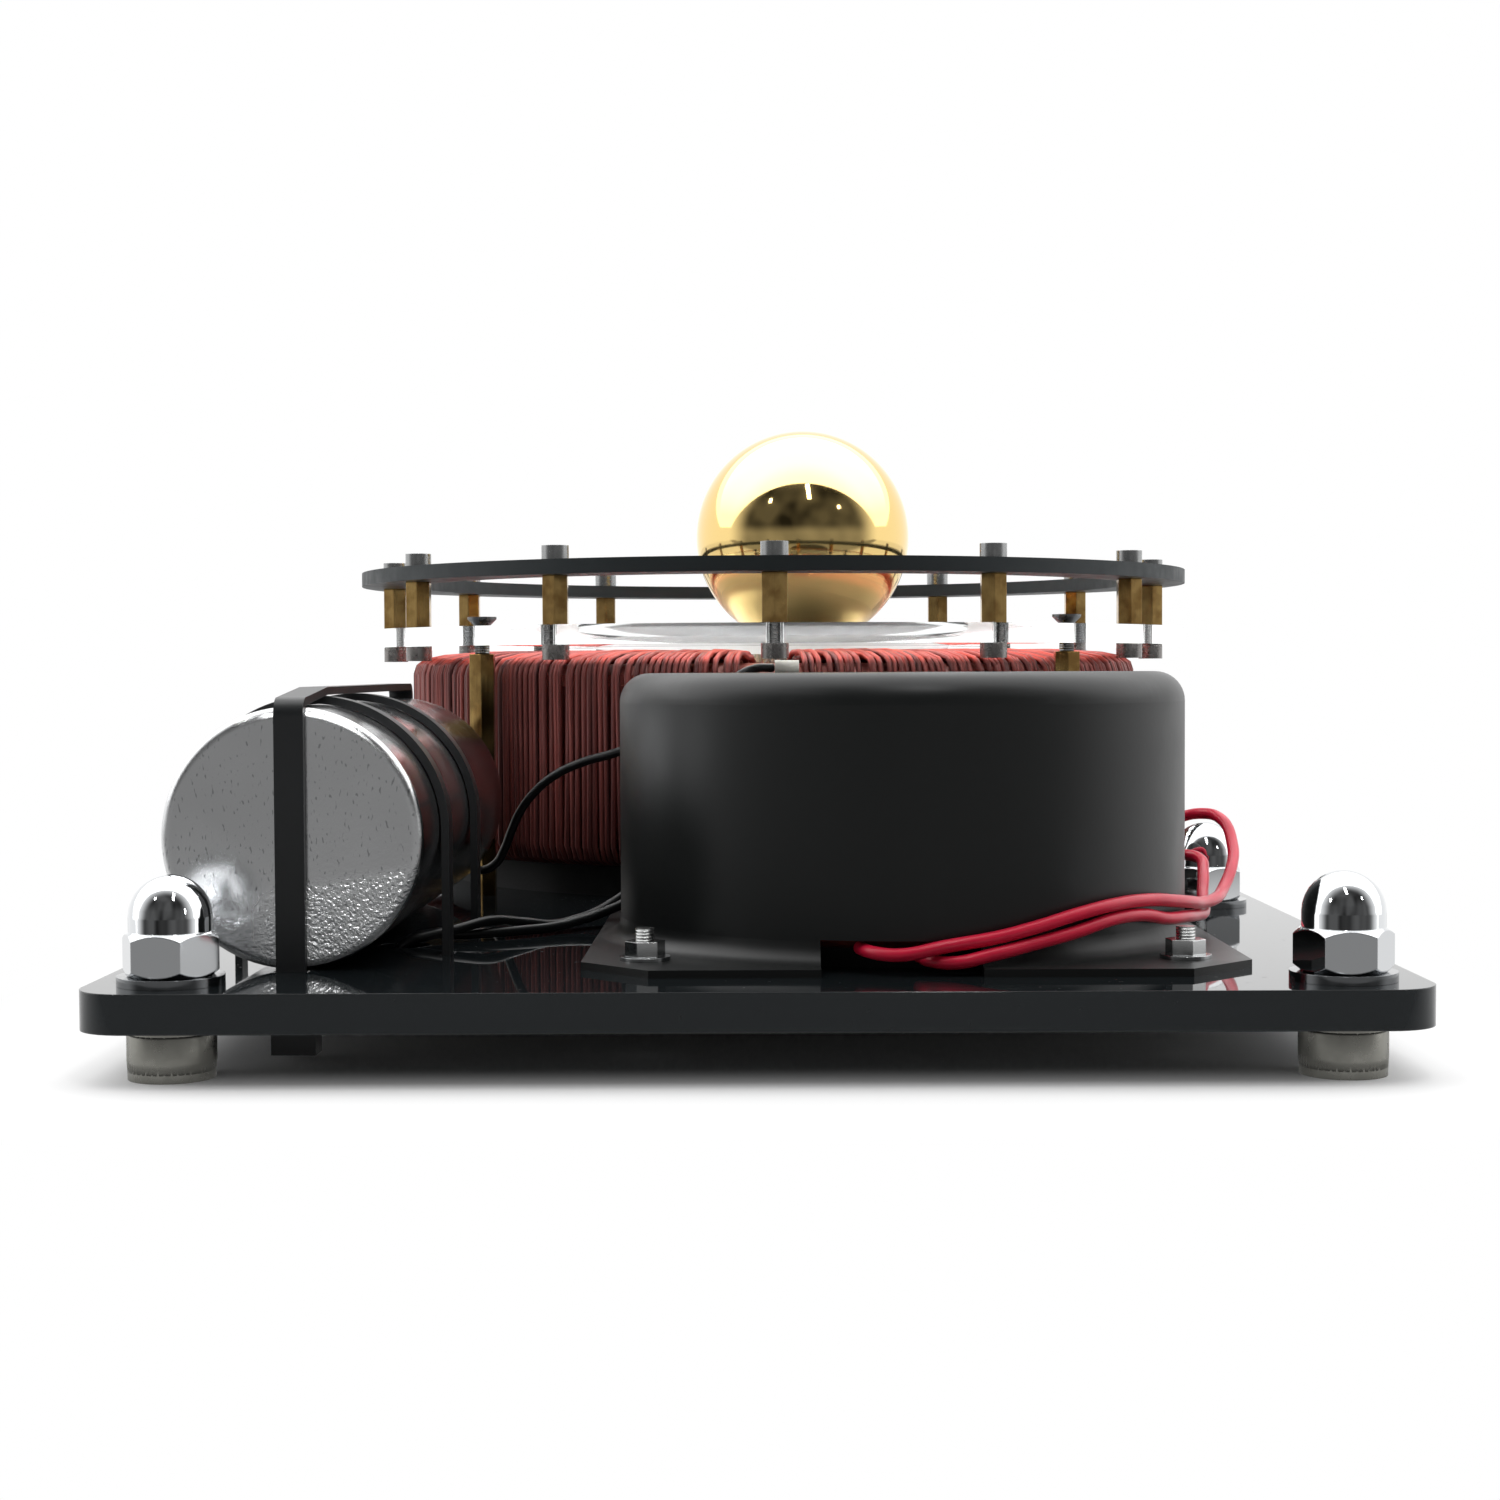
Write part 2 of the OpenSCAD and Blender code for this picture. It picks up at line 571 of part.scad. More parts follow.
module coil_turns() {
    t = coil_layer_t;
    color("#8e2a22")
    translate([coil_x, coil_y, 0])
        difference() {
            rotate_extrude() polygon(section_loop(coil_wire_d + rest_gap));
            rotate_extrude()
                translate([turns_in_r + t, turns_z0 + t])
                    square([turns_out_r - turns_in_r - 2 * t, turns_z1 - turns_z0 - 2 * t]);
        }
}

module coil_winding() {
    color("#a8352a") tube(winding, coil_wire_d, 6);
}

module coil_sleeves() {
    color("#efece2") {
        for (s = sleeve_places)
            translate([coil_x, coil_y, s[1]]) rotate(s[0])
                translate([turns_out_r + rest_gap, 0, 0]) rotate([0, 90, 0]) disc(sleeve_d, sleeve_len);
        translate(top_sleeve_at) rotate([0, 90, 0]) disc(coil_wire_d, top_sleeve_len);
    }
}

// Stage and fence

// A hexagon post standing on z = 0, threaded right through
module post(h) {
    difference() {
        rotate(30) hexagon(post_af, h);
        translate([0, 0, -cut]) disc(screw_d + 2 * thread_gap, h + 2 * cut);
    }
}

module stage_pillars() {
    color("#b08d3e")
    for (p = pillars)
        translate([p[0], p[1], base_top]) post(pillar_h);
}

module pillar_base_screws() {
    color("#a9abad")
    for (p = pillars)
        translate([p[0], p[1], base_z]) mirror([0, 0, 1])
            cap_screw(screw_d, base_t + thread_hold, cap_head_d, cap_head_h, cap_key_af);
}

module pillar_top_screws() {
    cone_h = (csk_head_d - screw_d) / 2;
    color("#8f9193")
    for (p = pillars)
        translate([p[0], p[1], stage_top])
            difference() {
                union() {
                    translate([0, 0, -stage_t - thread_show - thread_hold])
                        disc(screw_d, stage_t + thread_show + thread_hold);
                    cylinder(d1 = screw_d, d2 = csk_head_d, h = cone_h);
                    translate([0, 0, cone_h]) disc(csk_head_d, csk_rim_t);
                }
                translate([0, 0, cone_h + csk_rim_t - 1]) hexagon(cap_key_af * 0.8, 1 + cut);
            }
}

module stage_plate() {
    color("#dfe8ea", 0.35)
    difference() {
        translate([coil_x, coil_y, 0]) {
            difference() {
                union() {
                    translate([0, 0, stage_z]) disc(fence_od, stage_t);
                    intersection() {
                        translate([0, 0, dish_centre_z - stage_t]) sphere(r = dish_ball_r);
                        translate([0, 0, stage_z - dish_sag - cut]) disc(2 * dish_r, dish_sag + 2 * cut);
                    }
                }
                intersection() {
                    translate([0, 0, dish_centre_z]) sphere(r = dish_ball_r);
                    translate([0, 0, stage_z - dish_sag]) disc(2 * dish_r, dish_sag + stage_t + cut);
                }
            }
        }
        translate([0, 0, stage_z - cut]) {
            for (p = posts)
                translate(p) disc(screw_d + 2 * hole_gap, stage_t + 2 * cut);
            for (p = pillars)
                translate(p) disc(screw_d + 2 * thread_gap, stage_t + 2 * cut);
        }
    }
}

module fence_posts_group() {
    color("#b08d3e")
    for (p = posts)
        translate([p[0], p[1], stage_top]) post(fence_post_h);
}

module fence_lower_screws() {
    color("#a9abad")
    for (p = posts)
        translate([p[0], p[1], stage_z]) mirror([0, 0, 1])
            cap_screw(screw_d, stage_t + thread_hold, cap_head_d, cap_head_h, cap_key_af);
}

module fence_upper_screws() {
    color("#a9abad")
    for (p = posts)
        translate([p[0], p[1], fence_top])
            cap_screw(screw_d, fence_t + thread_hold, cap_head_d, cap_head_h, cap_key_af);
}

module fence_ring() {
    color("#17191c")
    difference() {
        translate([coil_x, coil_y, fence_z])
            difference() {
                disc(fence_od, fence_t);
                translate([0, 0, -cut]) disc(fence_od - 2 * fence_band, fence_t + 2 * cut);
            }
        for (p = posts)
            translate([p[0], p[1], fence_z - cut]) disc(screw_d + 2 * hole_gap, fence_t + 2 * cut);
    }
}

module brass_ball() {
    color("#c9a227")
    translate([ball_x, coil_y, ball_z])
        difference() {
            sphere(d = ball_d);
            sphere(d = ball_d - 2 * ball_wall);
        }
}

// Transformer

// Half section of a round cup of radius r and height h, open at z = 0
module cup_section(r, h, c) {
    square([r - c, h]);
    square([r, h - c]);
    translate([r - c, h - c]) circle(c);
}

// Half section of the flare between a wall of radius r and a flange on z = 0
module flare_section(r, arc_r) {
    out_r = can_d / 2 + can_flare_r;
    rise = can_wall + can_flare_r;
    difference() {
        translate([r - can_wall, 0]) square([out_r - r + can_wall, rise]);
        translate([out_r, rise]) circle(arc_r);
    }
}

module flange_outline() {
    a = flange_half;
    b = flange_half - flange_chamfer;
    polygon([[a, b], [b, a], [-b, a], [-a, b], [-a, -b], [-b, -a], [b, -a], [a, -b]]);
}

module transformer_cover() {
    r = can_d / 2;
    flare_out = r + can_flare_r;
    color("#26292b")
    translate([can_x, can_y, base_top])
        difference() {
            union() {
                rotate_extrude()
                    difference() {
                        union() {
                            cup_section(r, can_h, can_top_r);
                            flare_section(r, can_flare_r);
                        }
                        cup_section(r - can_wall, can_h - can_wall, can_top_r - can_wall);
                        flare_section(r, can_flare_r + can_wall);
                    }
                linear_extrude(can_wall)
                    difference() {
                        flange_outline();
                        circle(flare_out);
                    }
            }
            translate([notch_x - notch_w / 2, -flange_half - cut, -cut])
                cube([notch_w, flange_half - trafo_r + 2 * cut, notch_h + cut]);
            for (p = cover_bolt_at)
                translate([p[0] - can_x, p[1] - can_y, -cut])
                    disc(screw_d + 2 * hole_gap, can_wall + 2 * cut);
            rotate(lead_hole_deg)
                translate([trafo_r, 0, lead_hole_z - base_top]) rotate([0, 90, 0])
                    disc(lead_hole_d, can_d / 2);
        }
}

module transformer_core() {
    t = trafo_layer_t + thread_gap;
    color("#7c7f84")
    translate([can_x, can_y, 0])
        rotate_extrude()
            translate([trafo_inner_d / 2 + t, trafo_z0 + t])
                square([trafo_r - trafo_inner_d / 2 - 2 * t, trafo_z1 - trafo_z0 - 2 * t]);
}

module transformer_winding() {
    t = trafo_layer_t;
    color("#a8641f")
    translate([can_x, can_y, 0])
        difference() {
            rounded_ring(trafo_inner_d / 2, trafo_r, trafo_z0, trafo_z1, t / 2);
            rotate_extrude()
                translate([trafo_inner_d / 2 + t, trafo_z0 + t])
                    square([trafo_r - trafo_inner_d / 2 - 2 * t, trafo_z1 - trafo_z0 - 2 * t]);
        }
}

module transformer_lower_pad() {
    color("#202224")
    translate([can_x, can_y, base_top]) disc(2 * trafo_r - trafo_layer_t, trafo_pad_t);
}

module transformer_upper_pad() {
    color("#202224")
    translate([can_x, can_y, trafo_z1]) disc(2 * trafo_r - trafo_layer_t, trafo_pad_t);
}

module cover_bolts() {
    color("#b9bab8")
    for (p = cover_bolt_at)
        translate([p[0], p[1], base_z]) mirror([0, 0, 1])
            cap_screw(screw_d, base_t + can_wall + cover_washer_t + cover_nut_h + cover_bolt_show,
                      cap_head_d, cap_head_h, cap_key_af);
}

module cover_washers() {
    color("#d5d6d8")
    for (p = cover_bolt_at)
        translate([p[0], p[1], base_top + can_wall])
            difference() {
                disc(cover_washer_d, cover_washer_t);
                translate([0, 0, -cut]) disc(screw_d + 2 * hole_gap, cover_washer_t + 2 * cut);
            }
}

module cover_nuts() {
    color("#c4c6c8")
    for (p = cover_bolt_at)
        translate([p[0], p[1], base_top + can_wall + cover_washer_t])
            difference() {
                rotate(p[0] < can_x ? 10 : 40) hexagon(cover_nut_af, cover_nut_h);
                translate([0, 0, -cut]) disc(screw_d + 2 * thread_gap, cover_nut_h + 2 * cut);
            }
}

// Capacitor

// Turns a piece made along +Z so that it lies along +Y on the capacitor axis
module along_capacitor() {
    translate([cap_x, cap_y0, cap_z]) rotate([-90, 0, 0]) children();
}

module capacitor_can() {
    color("#c3c3c2")
    along_capacitor()
        rotate_extrude()
            difference() {
                union() {
                    translate([0, cap_edge_r]) square([cap_r, cap_len - 2 * cap_edge_r]);
                    square([cap_r - cap_edge_r, cap_len]);
                    for (z = [cap_edge_r, cap_len - cap_edge_r])
                        translate([cap_r - cap_edge_r, z]) circle(cap_edge_r);
                }
                translate([0, cap_wall]) square([cap_r - cap_wall, cap_len - 2 * cap_wall]);
                translate([0, cap_len / 2]) square([cap_r - cap_lip_w, cap_len]);
            }
}

module capacitor_roll() {
    color("#d8d2c0")
    along_capacitor()
        translate([0, 0, cap_wall])
            disc(2 * (cap_r - cap_wall - rest_gap), cap_len - 2 * cap_wall - cap_disc_t);
}

module capacitor_end_disc() {
    color("#3a2a22")
    along_capacitor()
        translate([0, 0, cap_len - cap_wall - cap_disc_t])
            disc(2 * (cap_r - cap_wall - thread_gap), cap_disc_t);
}

module capacitor_tabs() {
    color("#cfcfca")
    along_capacitor()
        for (side = [-1, 1])
            translate([side * tab_x - tab_t / 2, -tab_w / 2, cap_len - cap_wall])
                cube([tab_t, tab_w, tab_len]);
}

// Ties

// A closed band round the capacitor and through the base, of the given outer growth
module band_section(grow) {
    r = cap_r + tie_gap + grow;
    translate([0, cap_z]) circle(r);
    translate([-r, base_z - grow]) square([2 * r, cap_z - base_z + grow]);
}

module tie_head() {
    translate([-tie_head_d / 2, -tie_head_w / 2, 0]) cube([tie_head_d, tie_head_w, tie_head_h]);
}

module round_tie(at) {
    color("#131415")
    translate([cap_x, cap_y0 + at, 0]) {
        rotate([90, 0, 0])
            translate([0, 0, -tie_w / 2])
                linear_extrude(tie_w)
                    difference() {
                        band_section(tie_t);
                        band_section(0);
                    }
        translate([tie_head_at, 0, base_z - tie_t - tie_head_h]) tie_head();
    }
}

module tie_round_front() { round_tie(tie_front_at); }

module tie_round_rear() { round_tie(tie_rear_at); }

// Side section of the lengthwise tie. It bends close round the front edge of the capacitor,
// climbs over the round ties and goes down behind the rear edge
module lengthwise_section(grow) {
    c = cap_edge_r + tie_gap + grow;
    low = long_tie_z - grow;
    front_top = cap_z + cap_r + tie_gap;
    over_top = front_top + tie_t + tie_gap;
    y0 = cap_edge_r;
    y1 = cap_len - cap_edge_r;
    polygon([[y0, low], [y0, front_top + grow], [tie_front_at - tie_w / 2, over_top + grow],
             [y1, over_top + grow], [y1, low]]);
    translate([y0 - c, low]) square([2 * c, front_top + grow - c - low]);
    translate([y0, front_top + grow - c]) circle(c);
    translate([y1 - c, low]) square([2 * c, over_top + grow - c - low]);
    translate([y1, over_top + grow - c]) circle(c);
}

module tie_lengthwise() {
    color("#131415")
    translate([cap_x, cap_y0, 0]) {
        rotate([90, 0, 90])
            translate([0, 0, -tie_w / 2])
                linear_extrude(tie_w)
                    difference() {
                        lengthwise_section(tie_t);
                        lengthwise_section(0);
                    }
        translate([0, tie_head_d / 2, long_tie_z - tie_t - tie_head_h]) rotate(90) tie_head();
    }
}

// Leads

module red_lead_long() { color("#d0213c") tube(red_long_route, red_lead_d, 8); }

module red_lead_short() { color("#d0213c") tube(red_short_route, red_lead_d, 8); }

module black_lead_coil() { color("#1a1b1c") tube(black_coil_route, black_lead_d, 8); }

module black_lead_left() { color("#1a1b1c") tube(black_left_route, black_lead_d, 8); }

module black_lead_right() { color("#1a1b1c") tube(black_right_route, black_lead_d, 8); }

base_plate();
foot_bolts();
foot_washers();
dome_nuts();
coil_pad();
coil_core();
core_wrap();
coil_turns();
coil_winding();
coil_sleeves();
stage_pillars();
pillar_base_screws();
pillar_top_screws();
stage_plate();
fence_posts_group();
fence_lower_screws();
fence_upper_screws();
fence_ring();
brass_ball();
transformer_cover();
transformer_core();
transformer_winding();
transformer_lower_pad();
transformer_upper_pad();
cover_bolts();
cover_washers();
cover_nuts();
capacitor_can();
capacitor_roll();
capacitor_end_disc();
capacitor_tabs();
tie_lengthwise();
tie_round_front();
tie_round_rear();
red_lead_long();
red_lead_short();
black_lead_coil();
black_lead_left();
black_lead_right();
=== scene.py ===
"""Looks of a spinning-ball demonstrator: a wound ring coil, a clear stage with its
fence and brass ball, a covered transformer, a capacitor and their leads."""

import math
import random

import bmesh
import bpy
from bpy.props import FloatProperty, FloatVectorProperty, IntProperty, PointerProperty
from mathutils import Matrix, Vector


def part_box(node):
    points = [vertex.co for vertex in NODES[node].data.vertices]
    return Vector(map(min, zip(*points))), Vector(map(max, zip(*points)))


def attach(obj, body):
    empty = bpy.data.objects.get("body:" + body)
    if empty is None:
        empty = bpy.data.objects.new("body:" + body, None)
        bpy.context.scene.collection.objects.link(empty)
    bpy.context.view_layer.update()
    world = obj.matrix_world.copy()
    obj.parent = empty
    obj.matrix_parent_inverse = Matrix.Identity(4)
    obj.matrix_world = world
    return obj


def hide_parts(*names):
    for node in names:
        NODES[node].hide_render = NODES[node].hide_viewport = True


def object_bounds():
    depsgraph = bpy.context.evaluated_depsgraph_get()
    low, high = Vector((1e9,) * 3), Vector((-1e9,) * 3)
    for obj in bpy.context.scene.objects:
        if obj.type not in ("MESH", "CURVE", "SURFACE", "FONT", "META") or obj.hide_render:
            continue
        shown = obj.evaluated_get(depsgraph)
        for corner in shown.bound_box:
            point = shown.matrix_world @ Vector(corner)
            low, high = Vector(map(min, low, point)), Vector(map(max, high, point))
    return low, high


bl_info = {
    "name": "Spinning ball demonstrator",
    "version": (1, 0, 0),
    "blender": (4, 5, 0),
    "location": "View3D > Sidebar > Demonstrator",
    "description": "Dresses the packed demonstrator with its winding, leads, finishes and studio",
    "category": "Object",
}

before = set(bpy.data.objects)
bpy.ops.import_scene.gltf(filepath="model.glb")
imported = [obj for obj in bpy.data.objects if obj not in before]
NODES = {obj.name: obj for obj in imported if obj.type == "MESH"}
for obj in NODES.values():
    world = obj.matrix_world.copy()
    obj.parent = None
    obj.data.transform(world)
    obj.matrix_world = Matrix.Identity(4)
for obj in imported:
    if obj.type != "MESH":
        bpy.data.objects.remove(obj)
CAD_BOX = [list(corner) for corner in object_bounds()]
ROOT = "apparatus"
MM = 0.001


def linear(hex_colour):
    """Turns an sRGB hex colour into the linear colour that a shader reads."""
    values = [int(hex_colour[i:i + 2], 16) / 255 for i in (1, 3, 5)]
    return tuple(v / 12.92 if v <= 0.04045 else ((v + 0.055) / 1.055) ** 2.4 for v in values)


def middle(node):
    """Middle of a CAD node's box."""
    low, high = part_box(node)
    return (low + high) / 2


# Sizes and colours that a user would change


class WindingLooks(bpy.types.PropertyGroup):
    """The outer layer of the ring coil."""

    turns: IntProperty(name="Turns", description="Turns in the outer layer", default=372, min=100, max=500)
    wire: FloatProperty(name="Wire", description="Diameter of the enamelled wire", default=1.22 * MM,
                        min=0.6 * MM, max=2 * MM, unit="LENGTH", precision=5)
    corner: FloatProperty(name="Corner", description="Radius of the wire where it turns over the edges",
                          default=3.6 * MM, min=1 * MM, max=8 * MM, unit="LENGTH", precision=5)
    crown: FloatProperty(name="Crown", description="Rise of the winding from its outer edge to its crown",
                         default=4.5 * MM, min=1 * MM, max=8 * MM, unit="LENGTH", precision=5)
    disorder: FloatProperty(name="Disorder", description="How far the turns wander from an even spacing",
                            default=0.38, min=0, max=1, subtype="FACTOR")
    # Enamel and Shade colour the turns of the outer wall, painted darker than the crown as painted shade
    enamel: FloatVectorProperty(name="Enamel", description="Colour of the enamelled copper",
                                subtype="COLOR", default=linear("#8e4640"))
    shade: FloatVectorProperty(name="Shade", description="Colour of the darker turns",
                               subtype="COLOR", default=linear("#5a3230"))


class FeetLooks(bpy.types.PropertyGroup):
    """The knurled heads that the base stands on."""

    teeth: IntProperty(name="Teeth", description="Ridges round each knurled head", default=60, min=24, max=90)
    depth: FloatProperty(name="Depth", description="Height of the ridges", default=0.13 * MM,
                         min=0.05 * MM, max=0.6 * MM, unit="LENGTH", precision=5)


class FinishLooks(bpy.types.PropertyGroup):
    """Colours of the other finishes."""

    acrylic: FloatVectorProperty(name="Black acrylic", description="Colour of the base",
                                 subtype="COLOR", default=linear("#191d1f"))
    fence: FloatVectorProperty(name="Fence ring", description="Colour of the fence ring",
                               subtype="COLOR", default=linear("#2a2f31"))
    powder: FloatVectorProperty(name="Powder coat", description="Colour of the transformer cover",
                                subtype="COLOR", default=linear("#131515"))
    brass: FloatVectorProperty(name="Polished brass", description="Colour of the ball",
                               subtype="COLOR", default=linear("#eacb86"))
    post: FloatVectorProperty(name="Turned brass", description="Colour of the hexagon posts and pillars",
                              subtype="COLOR", default=linear("#b4955e"))
    tin: FloatVectorProperty(name="Tinplate", description="Colour of the capacitor can",
                             subtype="COLOR", default=linear("#d9dadb"))
    red_lead: FloatVectorProperty(name="Red lead", description="Colour of the transformer leads",
                                  subtype="COLOR", default=linear("#dc1c40"))


class StudioLooks(bpy.types.PropertyGroup):
    """Floor, light and camera."""

    floor: FloatVectorProperty(name="Floor", description="Colour of the floor", subtype="COLOR",
                               default=linear("#f2f2f2"))
    room: FloatProperty(name="Room", description="Brightness of the room in front of the object",
                        default=0.06, min=0, max=1, subtype="FACTOR")
    horizon: FloatProperty(name="Horizon", description="Brightness of the lower part of that room",
                           default=0.24, min=0, max=1, subtype="FACTOR")
    sky: FloatProperty(name="Sky", description="Brightness of the white surroundings", default=1.2,
                       min=0, max=2)
    lens: FloatProperty(name="Lens", description="Focal length on a 36 mm sensor", default=56.57,
                        min=20, max=120)


# Nodes and materials

MATERIALS = {}
WHITE = (1.0, 1.0, 1.0, 1.0)
ACRYLIC_IOR = 1.49
BEVEL_SAMPLES = 4
# The milled dish of the clear stage: its radius, and half the height of the matt band round the box's middle
DISH_REACH = 50 * MM
DISH_HALF = 1.9 * MM
# Pitch of the fine screw threads. A wave texture runs through 20 radians in one unit
THREAD_MM = 0.5
WAVE_UNIT = 20 / (2 * math.pi)
# How far the shading of a tapered wall leans in, and the height over which that fades
LEAN = 0.24
LEAN_FADE = 4 * MM


def add_node(tree, kind, settings=(), sockets=()):
    """Adds a node, sets its properties, and fills or links its sockets."""
    node = tree.nodes.new(kind)
    for name, value in dict(settings).items():
        setattr(node, name, value)
    for name, value in dict(sockets).items():
        if isinstance(value, bpy.types.NodeSocket):
            tree.links.new(value, node.inputs[name])
        else:
            node.inputs[name].default_value = value
    return node


def calculate(tree, operation, *values):
    """Result of a Math node."""
    return add_node(tree, "ShaderNodeMath", {"operation": operation}, enumerate(values)).outputs["Value"]


def vector_math(tree, operation, *values):
    """Result of a Vector Math node, a number where it is a length."""
    node = add_node(tree, "ShaderNodeVectorMath", {"operation": operation}, enumerate(values))
    return node.outputs["Value" if operation == "LENGTH" else "Vector"]


def axes(tree, place):
    """X, Y and Z of a place."""
    split = add_node(tree, "ShaderNodeSeparateXYZ", {}, {"Vector": place})
    return split.outputs["X"], split.outputs["Y"], split.outputs["Z"]


def remap(tree, value, low, high, start=0.0, end=1.0, kind="LINEAR"):
    """A value moved from the range low to high into the range start to end, and kept inside it."""
    node = add_node(tree, "ShaderNodeMapRange", {"interpolation_type": kind}, {
        "Value": value, "From Min": low, "From Max": high, "To Min": start, "To Max": end})
    return node.outputs["Result"]


def between(tree, value, low, high):
    """1 inside a range and 0 outside it."""
    above = calculate(tree, "GREATER_THAN", value, low)
    return calculate(tree, "MULTIPLY", above, calculate(tree, "LESS_THAN", value, high))


def per_metre(size_mm):
    """Texture scale at which one feature is about size_mm across."""
    return 1 / (size_mm * MM)


def noise(tree, place, size_mm, detail, **more):
    """Noise with features about size_mm across."""
    node = add_node(tree, "ShaderNodeTexNoise", {}, {
        "Vector": place, "Scale": per_metre(size_mm), "Detail": detail, **more})
    return node.outputs["Fac"]


def blend(tree, share, first, second):
    """A colour that turns from the first into the second."""
    node = add_node(tree, "ShaderNodeMix", {"data_type": "RGBA"}, {"Factor": share, "A": first, "B": second})
    return node.outputs["Result"]


def broken_edges(tree, radius_mm):
    """Normal of a surface with its edges rounded a little."""
    node = add_node(tree, "ShaderNodeBevel", {"samples": BEVEL_SAMPLES}, {"Radius": radius_mm * MM})
    return node.outputs["Normal"]


def bumped(tree, height, strength, depth_mm, normal=None):
    """Normal of a surface with a relief depth_mm high, on top of another normal if there is one."""
    sockets = {"Strength": strength, "Distance": depth_mm * MM, "Height": height}
    if normal is not None:
        sockets["Normal"] = normal
    return add_node(tree, "ShaderNodeBump", {}, sockets).outputs["Normal"]


def new_material(name, sockets):
    """A material with a Principled shader, and its Object coordinates."""
    material = bpy.data.materials.new(name)
    material.use_nodes = True
    tree = material.node_tree
    tree.nodes.clear()
    shader = add_node(tree, "ShaderNodeBsdfPrincipled", {}, sockets)
    add_node(tree, "ShaderNodeOutputMaterial", {}, {"Surface": shader.outputs["BSDF"]})
    place = add_node(tree, "ShaderNodeTexCoord").outputs["Object"]
    MATERIALS[name] = material
    return material, tree, shader, place


def rgba(colour):
    """A colour with full opacity."""
    return (*colour[:3], 1.0)


def darker(colour, share):
    """A share of a colour, with full opacity."""
    return rgba(tuple(share * part for part in colour[:3]))


def black_acrylic(finish):
    """Cast acrylic sheet, laser cut and polished: a deep black mirror with a little dust and faint hazy
    smears."""
    material, tree, shader, place = new_material("polished_black_acrylic", {
        "Base Color": rgba(finish.acrylic), "Roughness": 0.04, "IOR": ACRYLIC_IOR})
    haze = remap(tree, noise(tree, place, 45, 4.0), 0.45, 0.75, 0.025, 0.09)
    specks = remap(tree, noise(tree, place, 0.9, 1.0), 0.76, 0.8, 0.0, 0.35)
    tree.links.new(calculate(tree, "ADD", haze, specks), shader.inputs["Roughness"])
    tree.links.new(broken_edges(tree, 0.35), shader.inputs["Normal"])
    return material


def satin_acrylic(finish):
    """Black acrylic with a sanded, satin surface: a charcoal edge without a mirror."""
    material, tree, shader, place = new_material("satin_black_acrylic", {
        "Base Color": rgba(finish.fence), "Roughness": 0.5, "IOR": ACRYLIC_IOR, "Specular IOR Level": 0.25})
    sanded = noise(tree, place, 3, 3.0)
    tree.links.new(remap(tree, sanded, 0.3, 0.7, 0.42, 0.58), shader.inputs["Roughness"])
    return material


def clear_acrylic(centre, radius):
    """Clear cast acrylic: hardly tinted, and lets most lamp light through. Its rim is a little hazy, and its
    milled dish is matt, which cuts the ball off at the upper edge of the rim and keeps the rim pale."""
    material, tree, shader, place = new_material("clear_polished_acrylic", {
        "Base Color": rgba(linear("#fbfdfd")), "Roughness": 0.0, "IOR": ACRYLIC_IOR,
        "Transmission Weight": 1.0})
    around = vector_math(tree, "SUBTRACT", place, tuple(centre))
    reach = vector_math(tree, "LENGTH", vector_math(tree, "MULTIPLY", around, (1.0, 1.0, 0.0)))
    wiped = remap(tree, noise(tree, place, 30, 2.0), 0.4, 0.7, 0.0, 0.03)
    rim = calculate(tree, "GREATER_THAN", reach, radius - 0.3 * MM)
    hazy = remap(tree, rim, 0.0, 1.0, wiped, 0.06)
    band = between(tree, axes(tree, around)[2], -DISH_HALF, DISH_HALF)
    dish = calculate(tree, "MULTIPLY", band, calculate(tree, "LESS_THAN", reach, DISH_REACH))
    tree.links.new(remap(tree, dish, 0.0, 1.0, hazy, 0.9), shader.inputs["Roughness"])
    shadow = add_node(tree, "ShaderNodeLightPath").outputs["Is Shadow Ray"]
    tree.links.new(remap(tree, shadow, 0.0, 1.0, 1.0, 0.15), shader.inputs["Alpha"])
    return material


def bright_metal(name, hex_colour, roughness, grain_mm, bevel_mm=0.2, thread=None, taper=None):
    """Machined or plated metal: tool marks vary its gloss, and its edges are broken. Thread holds heights
    between which the bands of a fine screw thread run, too fine to show as flanks. Taper holds heights
    between which an upright wall shines as if it leaned in a little, fading out above."""
    material, tree, shader, place = new_material(name, {
        "Base Color": rgba(linear(hex_colour)), "Metallic": 1.0, "Roughness": roughness})
    marks = noise(tree, place, grain_mm, 3.0, Roughness=0.6)
    gloss = remap(tree, marks, 0.3, 0.75, roughness * 0.7, roughness * 1.5)
    tree.links.new(gloss, shader.inputs["Roughness"])
    normal = broken_edges(tree, bevel_mm)
    if thread or taper:
        height = axes(tree, place)[2]
    if thread:
        band = add_node(tree, "ShaderNodeTexWave", {"bands_direction": "Z"}, {
            "Vector": place, "Scale": per_metre(THREAD_MM * WAVE_UNIT)})
        ridges = calculate(tree, "MULTIPLY", between(tree, height, *thread), band.outputs["Fac"])
        normal = bumped(tree, ridges, 0.9, 0.3, normal)
    if taper:
        foot, shoulder = taper
        lean = remap(tree, height, shoulder, shoulder + LEAN_FADE, LEAN, 0.0, "SMOOTHSTEP")
        lift = calculate(tree, "MULTIPLY", calculate(tree, "GREATER_THAN", height, foot), lean)
        upward = add_node(tree, "ShaderNodeCombineXYZ", {}, {"Z": lift}).outputs["Vector"]
        normal = vector_math(tree, "NORMALIZE", vector_math(tree, "ADD", normal, upward))
    tree.links.new(normal, shader.inputs["Normal"])
    return material


